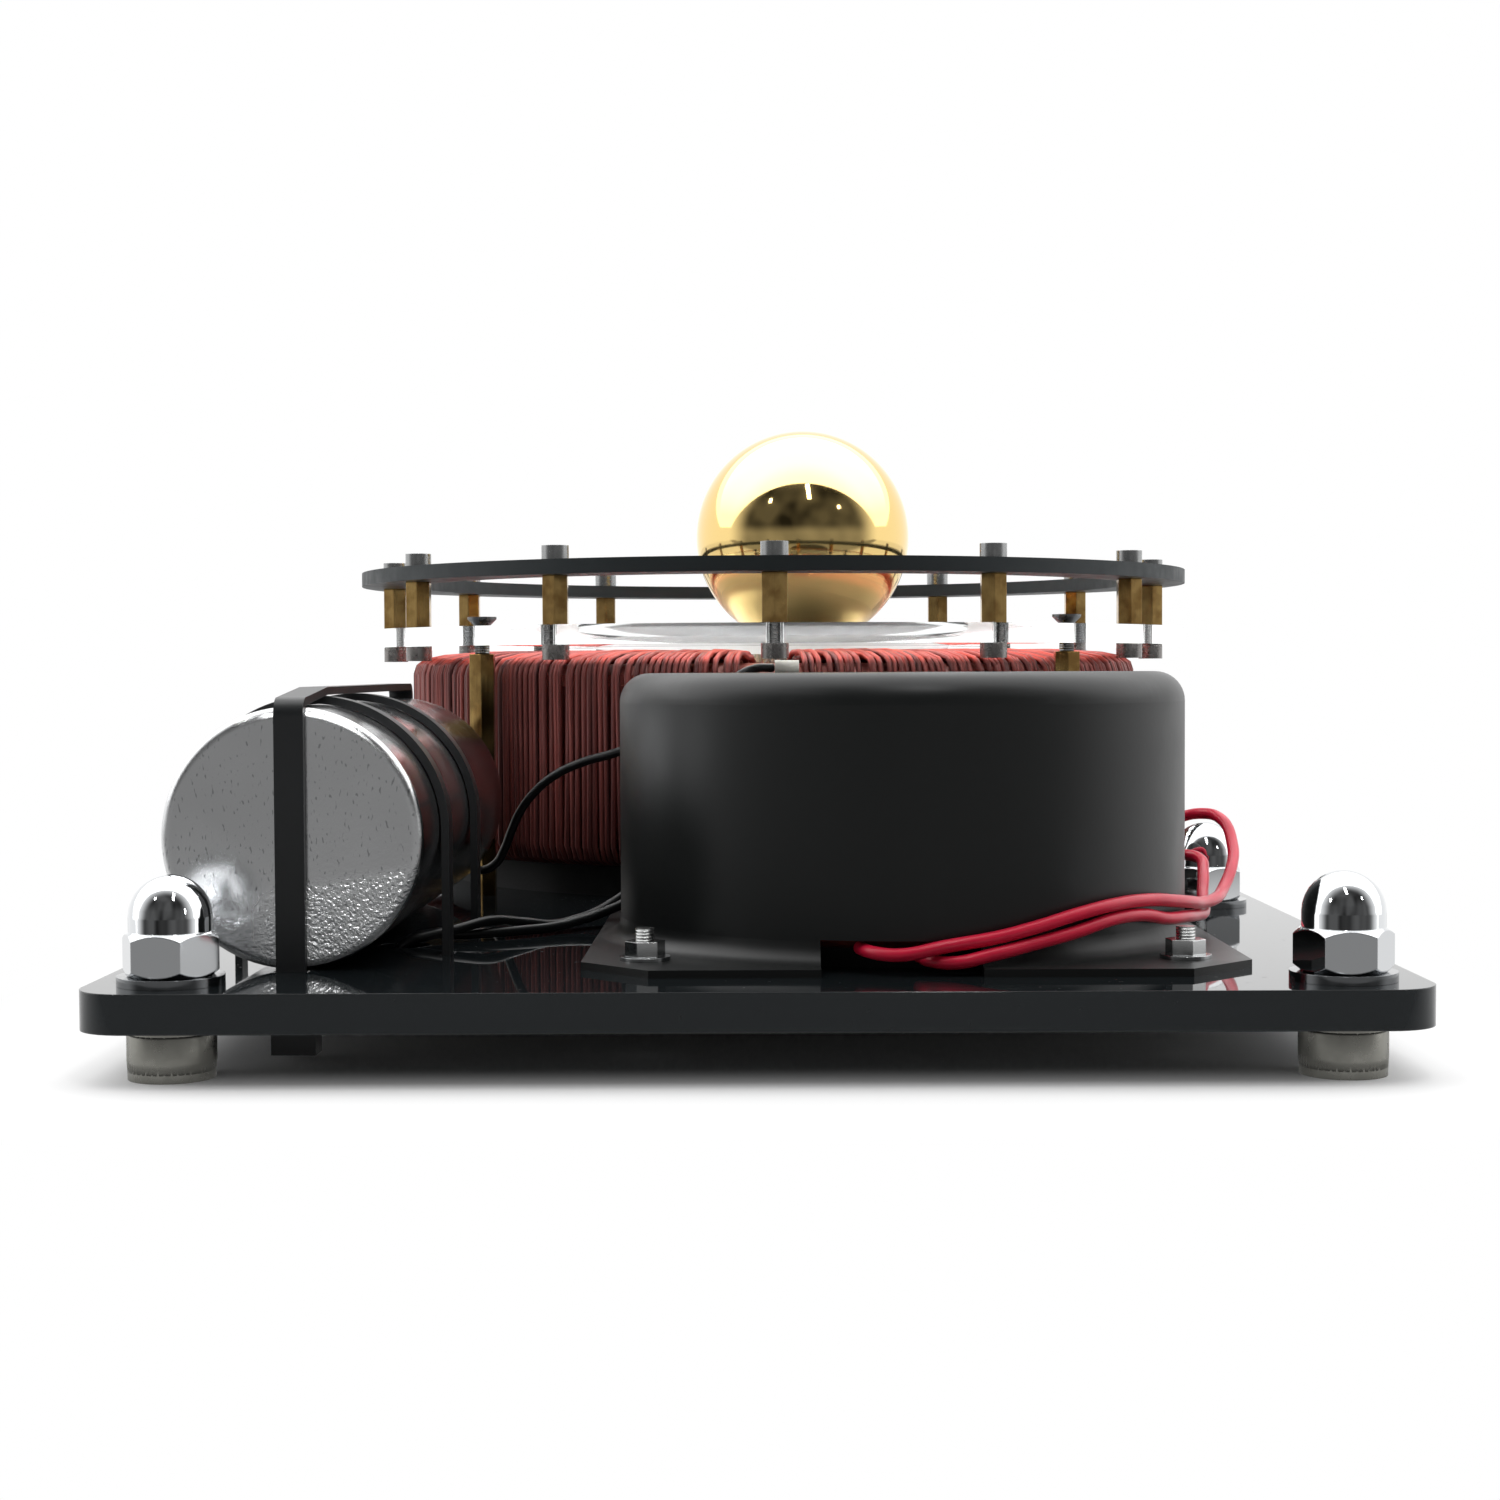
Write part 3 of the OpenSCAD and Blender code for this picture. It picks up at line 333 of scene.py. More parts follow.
def turned_brass(finish):
    """Drawn hexagon brass, a little tarnished: lengthwise draw lines and uneven darkening."""
    material, tree, shader, place = new_material("drawn_hexagon_brass", {
        "Base Color": rgba(finish.post), "Metallic": 1.0, "Roughness": 0.3})
    drawn = add_node(tree, "ShaderNodeMapping", {}, {"Vector": place, "Scale": (1.0, 1.0, 0.05)})
    lines = noise(tree, drawn.outputs["Vector"], 0.4, 2.0)
    stain = remap(tree, noise(tree, place, 4, 3.0), 0.35, 0.6)
    tone = blend(tree, stain, rgba(linear("#8c6c3e")), rgba(finish.post))
    tree.links.new(tone, shader.inputs["Base Color"])
    tree.links.new(remap(tree, lines, 0.3, 0.7, 0.11, 0.2), shader.inputs["Roughness"])
    normal = bumped(tree, lines, 0.12, 0.05, broken_edges(tree, 0.25))
    tree.links.new(normal, shader.inputs["Normal"])
    return material


def mirror_brass(finish):
    """Spun brass polished to a mirror, with hair-fine wiping scratches drawn coarser so that they show."""
    material, tree, shader, place = new_material("mirror_polished_brass", {
        "Base Color": rgba(finish.brass), "Metallic": 1.0, "Roughness": 0.06})
    wiped = noise(tree, place, 14, 5.0, Distortion=1.2)
    tree.links.new(remap(tree, wiped, 0.35, 0.7, 0.045, 0.1), shader.inputs["Roughness"])
    return material


def enamelled_wire(winding, coil_middle, top):
    """Enamelled copper wire: a red varnish over metal, each turn a little lighter or darker than the next. The
    crown is painted brighter as painted light from above, and the outer wall darker as painted shade."""
    material, tree, shader, place = new_material("enamelled_copper_wire", {
        "Metallic": 0.45, "Roughness": 0.5, "Coat Weight": 0.05, "Coat Roughness": 0.2})
    x, y, _ = axes(tree, vector_math(tree, "SUBTRACT", place, tuple(coil_middle)))
    each = add_node(tree, "ShaderNodeTexNoise", {"noise_dimensions": "1D"}, {
        "W": calculate(tree, "ARCTAN2", y, x), "Scale": winding.turns / (2 * math.pi) * 0.8, "Detail": 2.0,
        "Roughness": 0.7})
    share = remap(tree, each.outputs["Fac"], 0.34, 0.64)
    # Painted shade on the outer wall and painted light on the crown; the crown mask switches between them by
    # height
    wall_painted_shade = blend(tree, share, rgba(winding.shade), rgba(winding.enamel))
    crown_painted_light = blend(tree, share, rgba(linear("#74221c")), rgba(linear("#cc4636")))
    crown = remap(tree, axes(tree, place)[2], top - 3.2 * MM, top - 2.0 * MM)
    tree.links.new(blend(tree, crown, wall_painted_shade, crown_painted_light), shader.inputs["Base Color"])
    return material


def shaded_turns():
    """The turns under the outer layer: the same enamel in shade, mottled."""
    material, tree, shader, place = new_material("inner_copper_turns", {
        "Base Color": rgba(linear("#803022")), "Metallic": 0.5, "Roughness": 0.45})
    tone = blend(tree, noise(tree, place, 1.3, 2.0), rgba(linear("#74342c")), rgba(linear("#964438")))
    tree.links.new(tone, shader.inputs["Base Color"])
    return material


def powder_coat(finish):
    """Satin powder coat on a drawn steel bell: fine orange peel and a soft broad sheen."""
    material, tree, shader, place = new_material("satin_powder_coat", {
        "Base Color": rgba(finish.powder), "Roughness": 0.4, "IOR": 1.5, "Specular IOR Level": 0.36})
    wear = noise(tree, place, 22, 4.0)
    tree.links.new(remap(tree, wear, 0.35, 0.7, 0.35, 0.45), shader.inputs["Roughness"])
    peel = noise(tree, place, 0.8, 2.0)
    tree.links.new(bumped(tree, peel, 0.12, 0.06), shader.inputs["Normal"])
    return material


def spangled_tinplate(finish, front):
    """Drawn tinplate: a grey mirror round the side, and a face with small dark scuffs that sparkles at its
    lower right. Front is the place of the face along Y."""
    material, tree, shader, place = new_material("spangled_tinplate", {
        "Base Color": rgba(finish.tin), "Metallic": 1.0, "Roughness": 0.24})
    drawn_out = add_node(tree, "ShaderNodeMapping", {}, {
        "Vector": place, "Rotation": (0.0, math.radians(35), 0.0), "Scale": (1.0, 1.0, 0.4)})
    scuffs = remap(tree, noise(tree, drawn_out.outputs["Vector"], 0.38, 0.0), 0.69, 0.8, 0.0, 0.5)
    tone = blend(tree, scuffs, rgba(finish.tin), rgba(linear("#606265")))
    tree.links.new(tone, shader.inputs["Base Color"])
    x, y, z = axes(tree, place)
    face = calculate(tree, "LESS_THAN", y, front + 0.5 * MM)
    slant = calculate(tree, "MULTIPLY_ADD", x, -0.15, z)
    low = remap(tree, slant, 37 * MM, 39 * MM, 1.0, 0.06)
    right = remap(tree, x, -79 * MM, -71 * MM, 0.2, 1.0)
    frost = calculate(tree, "MULTIPLY", low, right)
    frosted = calculate(tree, "MULTIPLY", face, frost)
    cloudy = remap(tree, noise(tree, place, 16, 3.0), 0.35, 0.65, 0.12, 0.22)
    tree.links.new(calculate(tree, "MULTIPLY_ADD", frosted, 0.2, cloudy), shader.inputs["Roughness"])
    strength = remap(tree, face, 0.0, 1.0, 0.05, frost)
    normal = bumped(tree, noise(tree, place, 0.5, 1.0), strength, 0.2, broken_edges(tree, 0.9))
    tree.links.new(normal, shader.inputs["Normal"])
    return material


def moulded(name, hex_colour, roughness, grain_mm, bump_strength=0.2):
    """Moulded plastic, rubber or card: one colour with a slight mottle and a grain."""
    colour = linear(hex_colour)
    material, tree, shader, place = new_material(name, {"Base Color": rgba(colour), "Roughness": roughness})
    tone = blend(tree, noise(tree, place, 9, 2.0), darker(colour, 0.72), rgba(colour))
    tree.links.new(tone, shader.inputs["Base Color"])
    grain = noise(tree, place, grain_mm, 3.0)
    tree.links.new(bumped(tree, grain, bump_strength, 0.1), shader.inputs["Normal"])
    return material


def dress(material, *nodes):
    """Gives CAD nodes a material through their own slots."""
    for name in nodes:
        for place in NODES[name].material_slots:
            place.material = material


def add_piece(name, mesh, material, slot, *nodes):
    """Links a finished mesh, which rides on the apparatus and stands for the given CAD nodes."""
    piece = bpy.data.objects.new(name, mesh)
    bpy.context.scene.collection.objects.link(piece)
    mesh.materials.append(material)
    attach(piece, ROOT)
    if nodes:
        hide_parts(*nodes)
    return piece


def tube_curve(name, points, diameter, roundness):
    """A round tube along an open line of points, as a curve with closed ends."""
    curve = bpy.data.curves.new(name, "CURVE")
    curve.dimensions = "3D"
    curve.bevel_depth = diameter / 2
    curve.bevel_resolution = roundness
    curve.use_fill_caps = True
    line = curve.splines.new("POLY")
    line.points.add(len(points) - 1)
    for point, place in zip(line.points, points):
        point.co = (*place, 1.0)
    line.use_smooth = True
    return curve


def curve_to_mesh(curve, name):
    """The curve's tube as a mesh."""
    holder = bpy.data.objects.new(name, curve)
    bpy.context.scene.collection.objects.link(holder)
    bpy.context.view_layer.update()
    shown = holder.evaluated_get(bpy.context.evaluated_depsgraph_get())
    mesh = bpy.data.meshes.new_from_object(shown)
    bpy.data.objects.remove(holder)
    bpy.data.curves.remove(curve)
    mesh.name = name
    return mesh


def lit_by(lamp):
    """The collection of the only pieces that a lamp lights."""
    name = "lit_by_" + lamp
    return bpy.data.collections.get(name) or bpy.data.collections.new(name)


# Operators

# Each lamp's name, place, aim, width, depth and power in watts
LAMPS = (
    ("lamp_overhead", (0.0, 0.21, 0.54), (0.0, 0.21, 0.0), 6.0, 0.9, 20.5),
    ("lamp_ball", (0.0, 0.11, 0.53), (0.0, 0.11, 0.0), 3.0, 0.7, 11.0),
    ("lamp_coil", (0.0, 0.21, 0.52), (0.0, 0.21, 0.0), 3.0, 0.9, 9.0),
    ("lamp_can", (-0.1, -0.75, 0.5), (-0.07, -0.12, 0.03), 0.5, 0.3, 6.0),
    ("lamp_stage", (0.0, 0.21, 0.525), (0.0, 0.21, 0.0), 3.0, 0.9, 18.0),
    ("lamp_front_left", (-0.42, -0.45, 0.56), (0.0, 0.0, 0.05), 0.03, 0.06, 0.16),
    ("lamp_front_middle", (0.07, -0.4, 0.58), (0.0, 0.0, 0.05), 0.04, 0.2, 0.5),
    ("lamp_front_right", (0.48, -0.47, 0.47), (0.0, 0.0, 0.05), 0.025, 0.035, 0.08),
)
# The node that a lamp lights alone, with what is drawn over it
LIT = {"lamp_ball": "brass_ball", "lamp_coil": "coil_turns", "lamp_stage": "stage_plate",
       "lamp_can": "capacitor_can"}
# Half sizes and middle of the floor, and the strip round the base over which its shadow fades to white
FLOOR_HALF = (3.0, 1.92, 1.0)
FLOOR_MIDDLE = (0.0, 1.48, 0.0)
SHADOW_INSET = 20 * MM
SHADOW_FADE = (2 * MM, 60 * MM)
# Place of the camera, and its yaw, pitch and roll in degrees
CAMERA_PLACE = (1.2 * MM, -494 * MM, 60.6 * MM)
CAMERA_TURN = (-0.33, 1.96, -0.26)


class DEMO_OT_studio(bpy.types.Operator):
    """White floor, soft surroundings, the lamps and the camera"""

    bl_idname = "demo.studio"
    bl_label = "Studio"

    def execute(self, context):
        looks = context.scene.demo_studio
        self.add_floor(looks)
        self.add_world(context.scene, looks)
        for name, place, aim, width, depth, watts in LAMPS:
            lamp = bpy.data.lights.new(name, "AREA")
            lamp.shape = "RECTANGLE"
            lamp.size = width
            lamp.size_y = depth
            lamp.energy = watts
            holder = bpy.data.objects.new(name, lamp)
            turn = (Vector(aim) - Vector(place)).to_track_quat("-Z", "Y")
            holder.matrix_world = Matrix.Translation(place) @ turn.to_matrix().to_4x4()
            holder.visible_camera = False
            if name in LIT:
                lit = lit_by(name)
                lit.objects.link(NODES[LIT[name]])
                holder.light_linking.receiver_collection = lit
                self.soften(lamp)
            context.scene.collection.objects.link(holder)
        self.add_camera(context.scene, looks)
        context.scene.view_settings.view_transform = "Standard"
        return {"FINISHED"}

    def soften(self, lamp):
        """Fades the lamp out towards its two ends."""
        lamp.use_nodes = True
        tree = lamp.node_tree
        tree.nodes.clear()
        across = add_node(tree, "ShaderNodeNewGeometry").outputs["Parametric"]
        there_and_back = calculate(tree, "PINGPONG", axes(tree, across)[0], 0.5)
        fade = remap(tree, there_and_back, 0.0, 0.45, kind="SMOOTHSTEP")
        glow = add_node(tree, "ShaderNodeEmission", {}, {"Strength": fade})
        add_node(tree, "ShaderNodeOutputLight", {}, {"Surface": glow.outputs["Emission"]})

    def add_floor(self, looks):
        """A floor that takes the object's shadow and turns plain white a little way from the base. In
        reflections its front part is grey."""
        shape = bmesh.new()
        bmesh.ops.create_grid(shape, x_segments=1, y_segments=1, size=1.0)
        bmesh.ops.scale(shape, vec=FLOOR_HALF, verts=shape.verts)
        bmesh.ops.translate(shape, vec=FLOOR_MIDDLE, verts=shape.verts)
        mesh = bpy.data.meshes.new("floor")
        shape.to_mesh(mesh)
        shape.free()
        material, tree, shader, place = new_material("white_floor", {
            "Base Color": rgba(looks.floor), "Roughness": 0.7, "Specular IOR Level": 0.2})
        ray = add_node(tree, "ShaderNodeLightPath").outputs
        not_in_front = remap(tree, axes(tree, place)[1], -0.2, -0.1)
        mirrored = calculate(tree, "MULTIPLY", ray["Is Glossy Ray"], not_in_front)
        in_front = calculate(tree, "SUBTRACT", ray["Is Glossy Ray"], mirrored)
        seen = calculate(tree, "MAXIMUM", ray["Is Camera Ray"], mirrored)
        seen = calculate(tree, "MAXIMUM", seen, ray["Is Transmission Ray"])
        corner = (CAD_BOX[1][0] - SHADOW_INSET, CAD_BOX[1][1] - SHADOW_INSET, 0.0)
        past = vector_math(tree, "SUBTRACT", vector_math(tree, "ABSOLUTE", place), corner)
        far = vector_math(tree, "LENGTH", vector_math(tree, "MAXIMUM", past))
        fade = remap(tree, far, *SHADOW_FADE, kind="SMOOTHSTEP")
        share = calculate(tree, "MULTIPLY", seen, fade)
        white = add_node(tree, "ShaderNodeEmission", {}, {"Color": WHITE, "Strength": 1.0})
        grey = add_node(tree, "ShaderNodeEmission", {}, {"Color": WHITE, "Strength": 0.32})
        both = add_node(tree, "ShaderNodeMixShader", {}, {
            0: share, 1: shader.outputs["BSDF"], 2: white.outputs["Emission"]})
        both = add_node(tree, "ShaderNodeMixShader", {}, {
            0: in_front, 1: both.outputs["Shader"], 2: grey.outputs["Emission"]})
        out = next(n for n in tree.nodes if n.bl_idname == "ShaderNodeOutputMaterial")
        tree.links.new(both.outputs["Shader"], out.inputs["Surface"])
        mesh.materials.append(material)
        floor = bpy.data.objects.new("floor", mesh)
        bpy.context.scene.collection.objects.link(floor)

    def add_world(self, scene, looks):
        """White behind and beside the object, and a dim, uneven room in front of it."""
        world = bpy.data.worlds.new("surroundings")
        scene.world = world
        world.use_nodes = True
        tree = world.node_tree
        tree.nodes.clear()
        way = add_node(tree, "ShaderNodeTexCoord").outputs["Generated"]
        _, y, z = axes(tree, way)
        clutter = add_node(tree, "ShaderNodeTexNoise", {}, {"Vector": way, "Scale": 2.2, "Detail": 1.0})
        room = remap(tree, clutter.outputs["Fac"], 0.35, 0.65, 0.3 * looks.room, 2 * looks.room)
        band = remap(tree, z, 0.03, 0.22, looks.horizon, 0.0, "SMOOTHSTEP")
        dim = calculate(tree, "ADD", room, band)
        white = remap(tree, y, -0.5, -0.02, kind="SMOOTHSTEP")
        level = remap(tree, white, 0.0, 1.0, dim, looks.sky)
        around = add_node(tree, "ShaderNodeBackground", {}, {"Color": WHITE, "Strength": level})
        ray = add_node(tree, "ShaderNodeLightPath").outputs
        brighter = remap(tree, ray["Is Transmission Ray"], 0.0, 1.0, 1.0, 1.4)
        seen = add_node(tree, "ShaderNodeBackground", {}, {"Color": WHITE, "Strength": brighter})
        through = calculate(tree, "MAXIMUM", ray["Is Camera Ray"], ray["Is Transmission Ray"])
        both = add_node(tree, "ShaderNodeMixShader", {}, {
            0: through, 1: around.outputs["Background"], 2: seen.outputs["Background"]})
        add_node(tree, "ShaderNodeOutputWorld", {}, {"Surface": both.outputs["Shader"]})

    def add_camera(self, scene, looks):
        """The camera low in front, turned and tipped very slightly."""
        yaw, pitch, roll = (math.radians(angle) for angle in CAMERA_TURN)
        level = math.cos(pitch)
        ahead = Vector((math.sin(yaw) * level, math.cos(yaw) * level, -math.sin(pitch)))
        right = Vector((math.cos(yaw), -math.sin(yaw), 0.0))
        up = right.cross(ahead)
        side = right * math.cos(roll) + up * math.sin(roll)
        top = up * math.cos(roll) - right * math.sin(roll)
        turn = Matrix((side, top, -ahead)).transposed().to_4x4()
        lens = bpy.data.cameras.new("camera")
        lens.sensor_width = 36
        lens.lens = looks.lens
        lens.clip_start = 0.01
        camera = bpy.data.objects.new("camera", lens)
        camera.matrix_world = Matrix.Translation(CAMERA_PLACE) @ turn
        scene.collection.objects.link(camera)
        scene.camera = camera


# Routes of the leads in millimetres
RED_LONG = [
    (15.8, -132, 17.7), (18, -135.8, 17.3), (22, -137.8, 17.2), (29, -137.6, 18.5), (36.5, -136.2, 19.6),
    (43, -134, 21), (49.6, -130.8, 22.6), (56.6, -126, 23.7), (62.6, -120, 23.7), (67.4, -113.4, 22.9),
    (71.6, -105.6, 21.9), (75, -96.6, 20.9), (79.2, -87.4, 20.7), (82, -79, 21.4), (85.2, -71, 24.8),
    (86.8, -63.6, 28.2), (86.4, -56, 32.2), (83.4, -48.8, 33), (76.4, -43.4, 31), (66, -39.6, 31.4),
    (55, -36, 34), (46.4, -31.8, 37), (41.6, -27.4, 38), (39.6, -23.2, 38)]
RED_SHORT = [
    (25, -132.6, 16.4), (26.4, -135.6, 16.1), (30, -138, 16), (35.4, -137.2, 17), (42, -134.4, 18.3),
    (49.2, -131, 19.8), (56, -126.4, 21.4), (61, -121.8, 21.5), (65.8, -115.8, 20.3), (70, -108.4, 19.8),
    (73.6, -98.6, 19), (76.9, -89, 18.6), (78.2, -80.6, 20.6), (79.8, -72.6, 24), (80.4, -66, 25.8),
    (78, -60.4, 26.2), (72, -54.4, 25.8), (62.4, -48, 26), (52, -42.6, 27), (41.4, -37.6, 28.6),
    (32.4, -35.2, 29.8), (26, -33.4, 30), (23.5, -28.7, 30)]
BLACK_COIL = [
    (-61.9, -13, 36), (-61.9, -13, 32), (-61.9, -13, 28.4), (-61.9, -13, 24.8), (-60.4, -13.2, 21.3),
    (-57, -13.6, 19.8), (-53.6, -14.2, 21.2), (-51.7, -15, 24.2), (-50.1, -16.2, 28), (-48, -18, 32.2),
    (-44.8, -20.2, 36.2), (-40.4, -22.8, 39.7), (-35, -25.4, 42.2), (-28.8, -28, 44), (-22, -30, 46.4),
    (-15.4, -30.8, 50.2), (-9.6, -30, 54.8), (-4.8, -28, 58.6), (-0.6, -26, 60.7), (3.1, -24.2, 60.9)]
BLACK_LEFT = [
    (-62.4, -93.6, 8.4), (-62.2, -93.5, 10.2), (-61.2, -93.1, 12.9), (-59, -92.3, 14.8), (-55.8, -91.2, 15.5),
    (-51.6, -89.6, 15.2), (-46.4, -87.2, 15.2), (-41, -83.6, 15.2), (-36, -79, 15.3), (-32, -73.6, 15.8),
    (-28.8, -69.4, 16.5), (-25.6, -66.8, 17.6), (-22, -66, 19.2), (-18.6, -67, 20.2), (-16, -68.3, 20.2)]
BLACK_RIGHT = [
    (-62.4, -97.2, 8.4), (-62.2, -97.1, 10.2), (-61.2, -96.7, 12.9), (-59, -95.8, 14.8), (-55.8, -94.2, 15.6),
    (-51.4, -91.8, 16.4), (-46.2, -87.2, 17.3), (-41.4, -81.2, 16.4), (-36.4, -76.4, 15.4), (-32.6, -71, 15.8),
    (-29.4, -66.8, 16.6), (-26, -64.2, 18.4), (-22.2, -63.8, 20.8), (-18.6, -65.4, 22.6), (-15.2, -67.2, 22.6)]


class DEMO_OT_leads(bpy.types.Operator):
    """The red and black leads as round insulated wires"""

    bl_idname = "demo.leads"
    bl_label = "Leads"

    def execute(self, context):
        finish = context.scene.demo_finish
        red = self.insulation("red_lead_insulation", finish.red_lead, 0.3)
        black = self.insulation("black_lead_insulation", linear("#121314"), 0.34)
        for name, material, slot, diameter, points in (
            ("red_lead_long", red, "red_pvc", 2.1, RED_LONG),
            ("red_lead_short", red, "red_pvc", 2.1, RED_SHORT),
            ("black_lead_coil", black, "black_pvc", 1.8, BLACK_COIL),
            ("black_lead_left", black, "black_pvc", 1.8, BLACK_LEFT),
            ("black_lead_right", black, "black_pvc", 1.8, BLACK_RIGHT),
        ):
            self.add_lead(name, material, slot, diameter * MM, [Vector(p) * MM for p in points])
        return {"FINISHED"}

    def insulation(self, name, colour, roughness):
        """Extruded soft vinyl: an even colour with a soft gloss and slight ripples along the lead."""
        material, tree, shader, place = new_material(name, {
            "Base Color": rgba(colour), "Roughness": roughness, "IOR": 1.53, "Specular IOR Level": 0.32})
        ripple = noise(tree, place, 5, 2.0)
        tone = blend(tree, ripple, darker(colour, 0.75), rgba(colour))
        tree.links.new(tone, shader.inputs["Base Color"])
        tree.links.new(bumped(tree, ripple, 0.1, 0.2), shader.inputs["Normal"])
        return material

    def add_lead(self, name, material, slot, diameter, points):
        """A smooth curve through the points, as thick as the lead."""
        curve = bpy.data.curves.new(name + "_wire", "CURVE")
        curve.dimensions = "3D"
        curve.bevel_depth = diameter / 2
        curve.bevel_resolution = 4
        curve.resolution_u = 8
        curve.use_fill_caps = True
        line = curve.splines.new("BEZIER")
        line.bezier_points.add(len(points) - 1)
        for knot, place in zip(line.bezier_points, points):
            knot.co = place
            knot.handle_left_type = knot.handle_right_type = "AUTO"
        curve.materials.append(material)
        lead = bpy.data.objects.new(name + "_wire", curve)
        bpy.context.scene.collection.objects.link(lead)
        bpy.context.view_layer.update()
        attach(lead, ROOT)
        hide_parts(name)


class DEMO_OT_base(bpy.types.Operator):
    """The black acrylic base and the foam pad under the coil"""

    bl_idname = "demo.base"
    bl_label = "Base"

    def execute(self, context):
        dress(black_acrylic(context.scene.demo_finish), "base_plate")
        dress(moulded("black_foam_rubber", "#161718", 0.85, 0.7, 0.6), "coil_pad", "transformer_lower_pad",
              "transformer_upper_pad")
        return {"FINISHED"}


# The knurled heads: their radius, and the middle foot's place behind the cover's middle
HEAD_RADIUS = 6.5 * MM
MIDDLE_FOOT = 54.2 * MM
# Profile of a knurled band: steps outwards in ridge heights, and heights under a base that is 8 high
BAND = ((0.05, 1.2), (1.0, 2.8), (1.0, 6.6), (0.05, 6.9), (-3.0, 6.9), (-3.0, 1.2))
BASE_HEIGHT = 8
# The upright wall of the dome nuts, from their lower face
DOME_WALL = (6.3 * MM, 8.7 * MM)


class DEMO_OT_feet(bpy.types.Operator):
    """Knurled feet, washers and dome nuts"""

    bl_idname = "demo.feet"
    bl_label = "Feet"

    def execute(self, context):
        looks = context.scene.demo_feet
        steel = bright_metal("bright_stainless_steel", "#9a9992", 0.28, 3.0, 0.3)
        dress(steel, "foot_bolts")
        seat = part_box("dome_nuts")[0].z
        wall = [seat + height for height in DOME_WALL]
        dress(bright_metal("polished_chrome_plate", "#cfd1d3", 0.035, 8.0, 0.25, taper=wall), "dome_nuts")
        # The washers under the dome nuts are a darker copy of the cover washers' zinc plate: painted shade
        dress(bright_metal("zinc_plate_painted_shade", "#77797b", 0.12, 4.0, 0.15), "foot_washers")
        add_piece("foot_knurling", self.knurled_heads(looks), steel, "stainless")
        return {"FINISHED"}

    def knurled_heads(self, looks):
        """A ridged band round each head, made by turning its profile and pushing every other ridge line in."""
        shape = bmesh.new()
        low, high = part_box("foot_bolts")
        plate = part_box("base_plate")[0].z
        for x in (low.x + HEAD_RADIUS, high.x - HEAD_RADIUS):
            for y in self.rows(low, high, x > 0):
                self.turn_band(shape, Vector((x, y, 0.0)), plate, looks)
        bmesh.ops.recalc_face_normals(shape, faces=shape.faces)
        mesh = bpy.data.meshes.new("foot_knurling")
        shape.to_mesh(mesh)
        shape.free()
        mesh.shade_smooth()
        return mesh

    def rows(self, low, high, right):
        """Front, middle and rear feet along one side: only the right side has a middle one."""
        ends = [low.y + HEAD_RADIUS, high.y - HEAD_RADIUS]
        return ends + [middle("transformer_cover").y + MIDDLE_FOOT] if right else ends

    def turn_band(self, shape, foot, plate, looks):
        """One band with bevelled ends, from just above the floor to just under the base."""
        line = []
        for step, height in BAND:
            place = Vector((HEAD_RADIUS + step * looks.depth, 0.0, height * plate / BASE_HEIGHT))
            line.append(shape.verts.new(foot + place))
        edges = [shape.edges.new(pair) for pair in zip(line, line[1:] + line[:1])]
        bmesh.ops.spin(shape, geom=line + edges, cent=foot, axis=(0, 0, 1), angle=2 * math.pi,
                       steps=2 * looks.teeth, use_merge=True)
        around = [v for v in shape.verts if (v.co.xy - foot.xy).length < HEAD_RADIUS + 2 * looks.depth]
        for vert in around:
            out = vert.co.xy - foot.xy
            turn = round(math.atan2(out.y, out.x) / (math.pi / looks.teeth))
            if turn % 2 and out.length > HEAD_RADIUS + looks.depth * 0.9:
                vert.co.xy = foot.xy + out.normalized() * (HEAD_RADIUS + 0.25 * looks.depth)


# The wound part of the ring and its first turn leave a gap in front for the sleeves
WOUND_ANGLE = math.radians(351)
FIRST_TURN = math.radians(270 + 4.5)
HOLE_RADIUS = 40 * MM
# Share of a wire's diameter by which every other turn dips under its neighbours
DIP = 0.92
# Share of a corner's radius that a point half way round the corner keeps from either side
HALF_WAY = 0.29


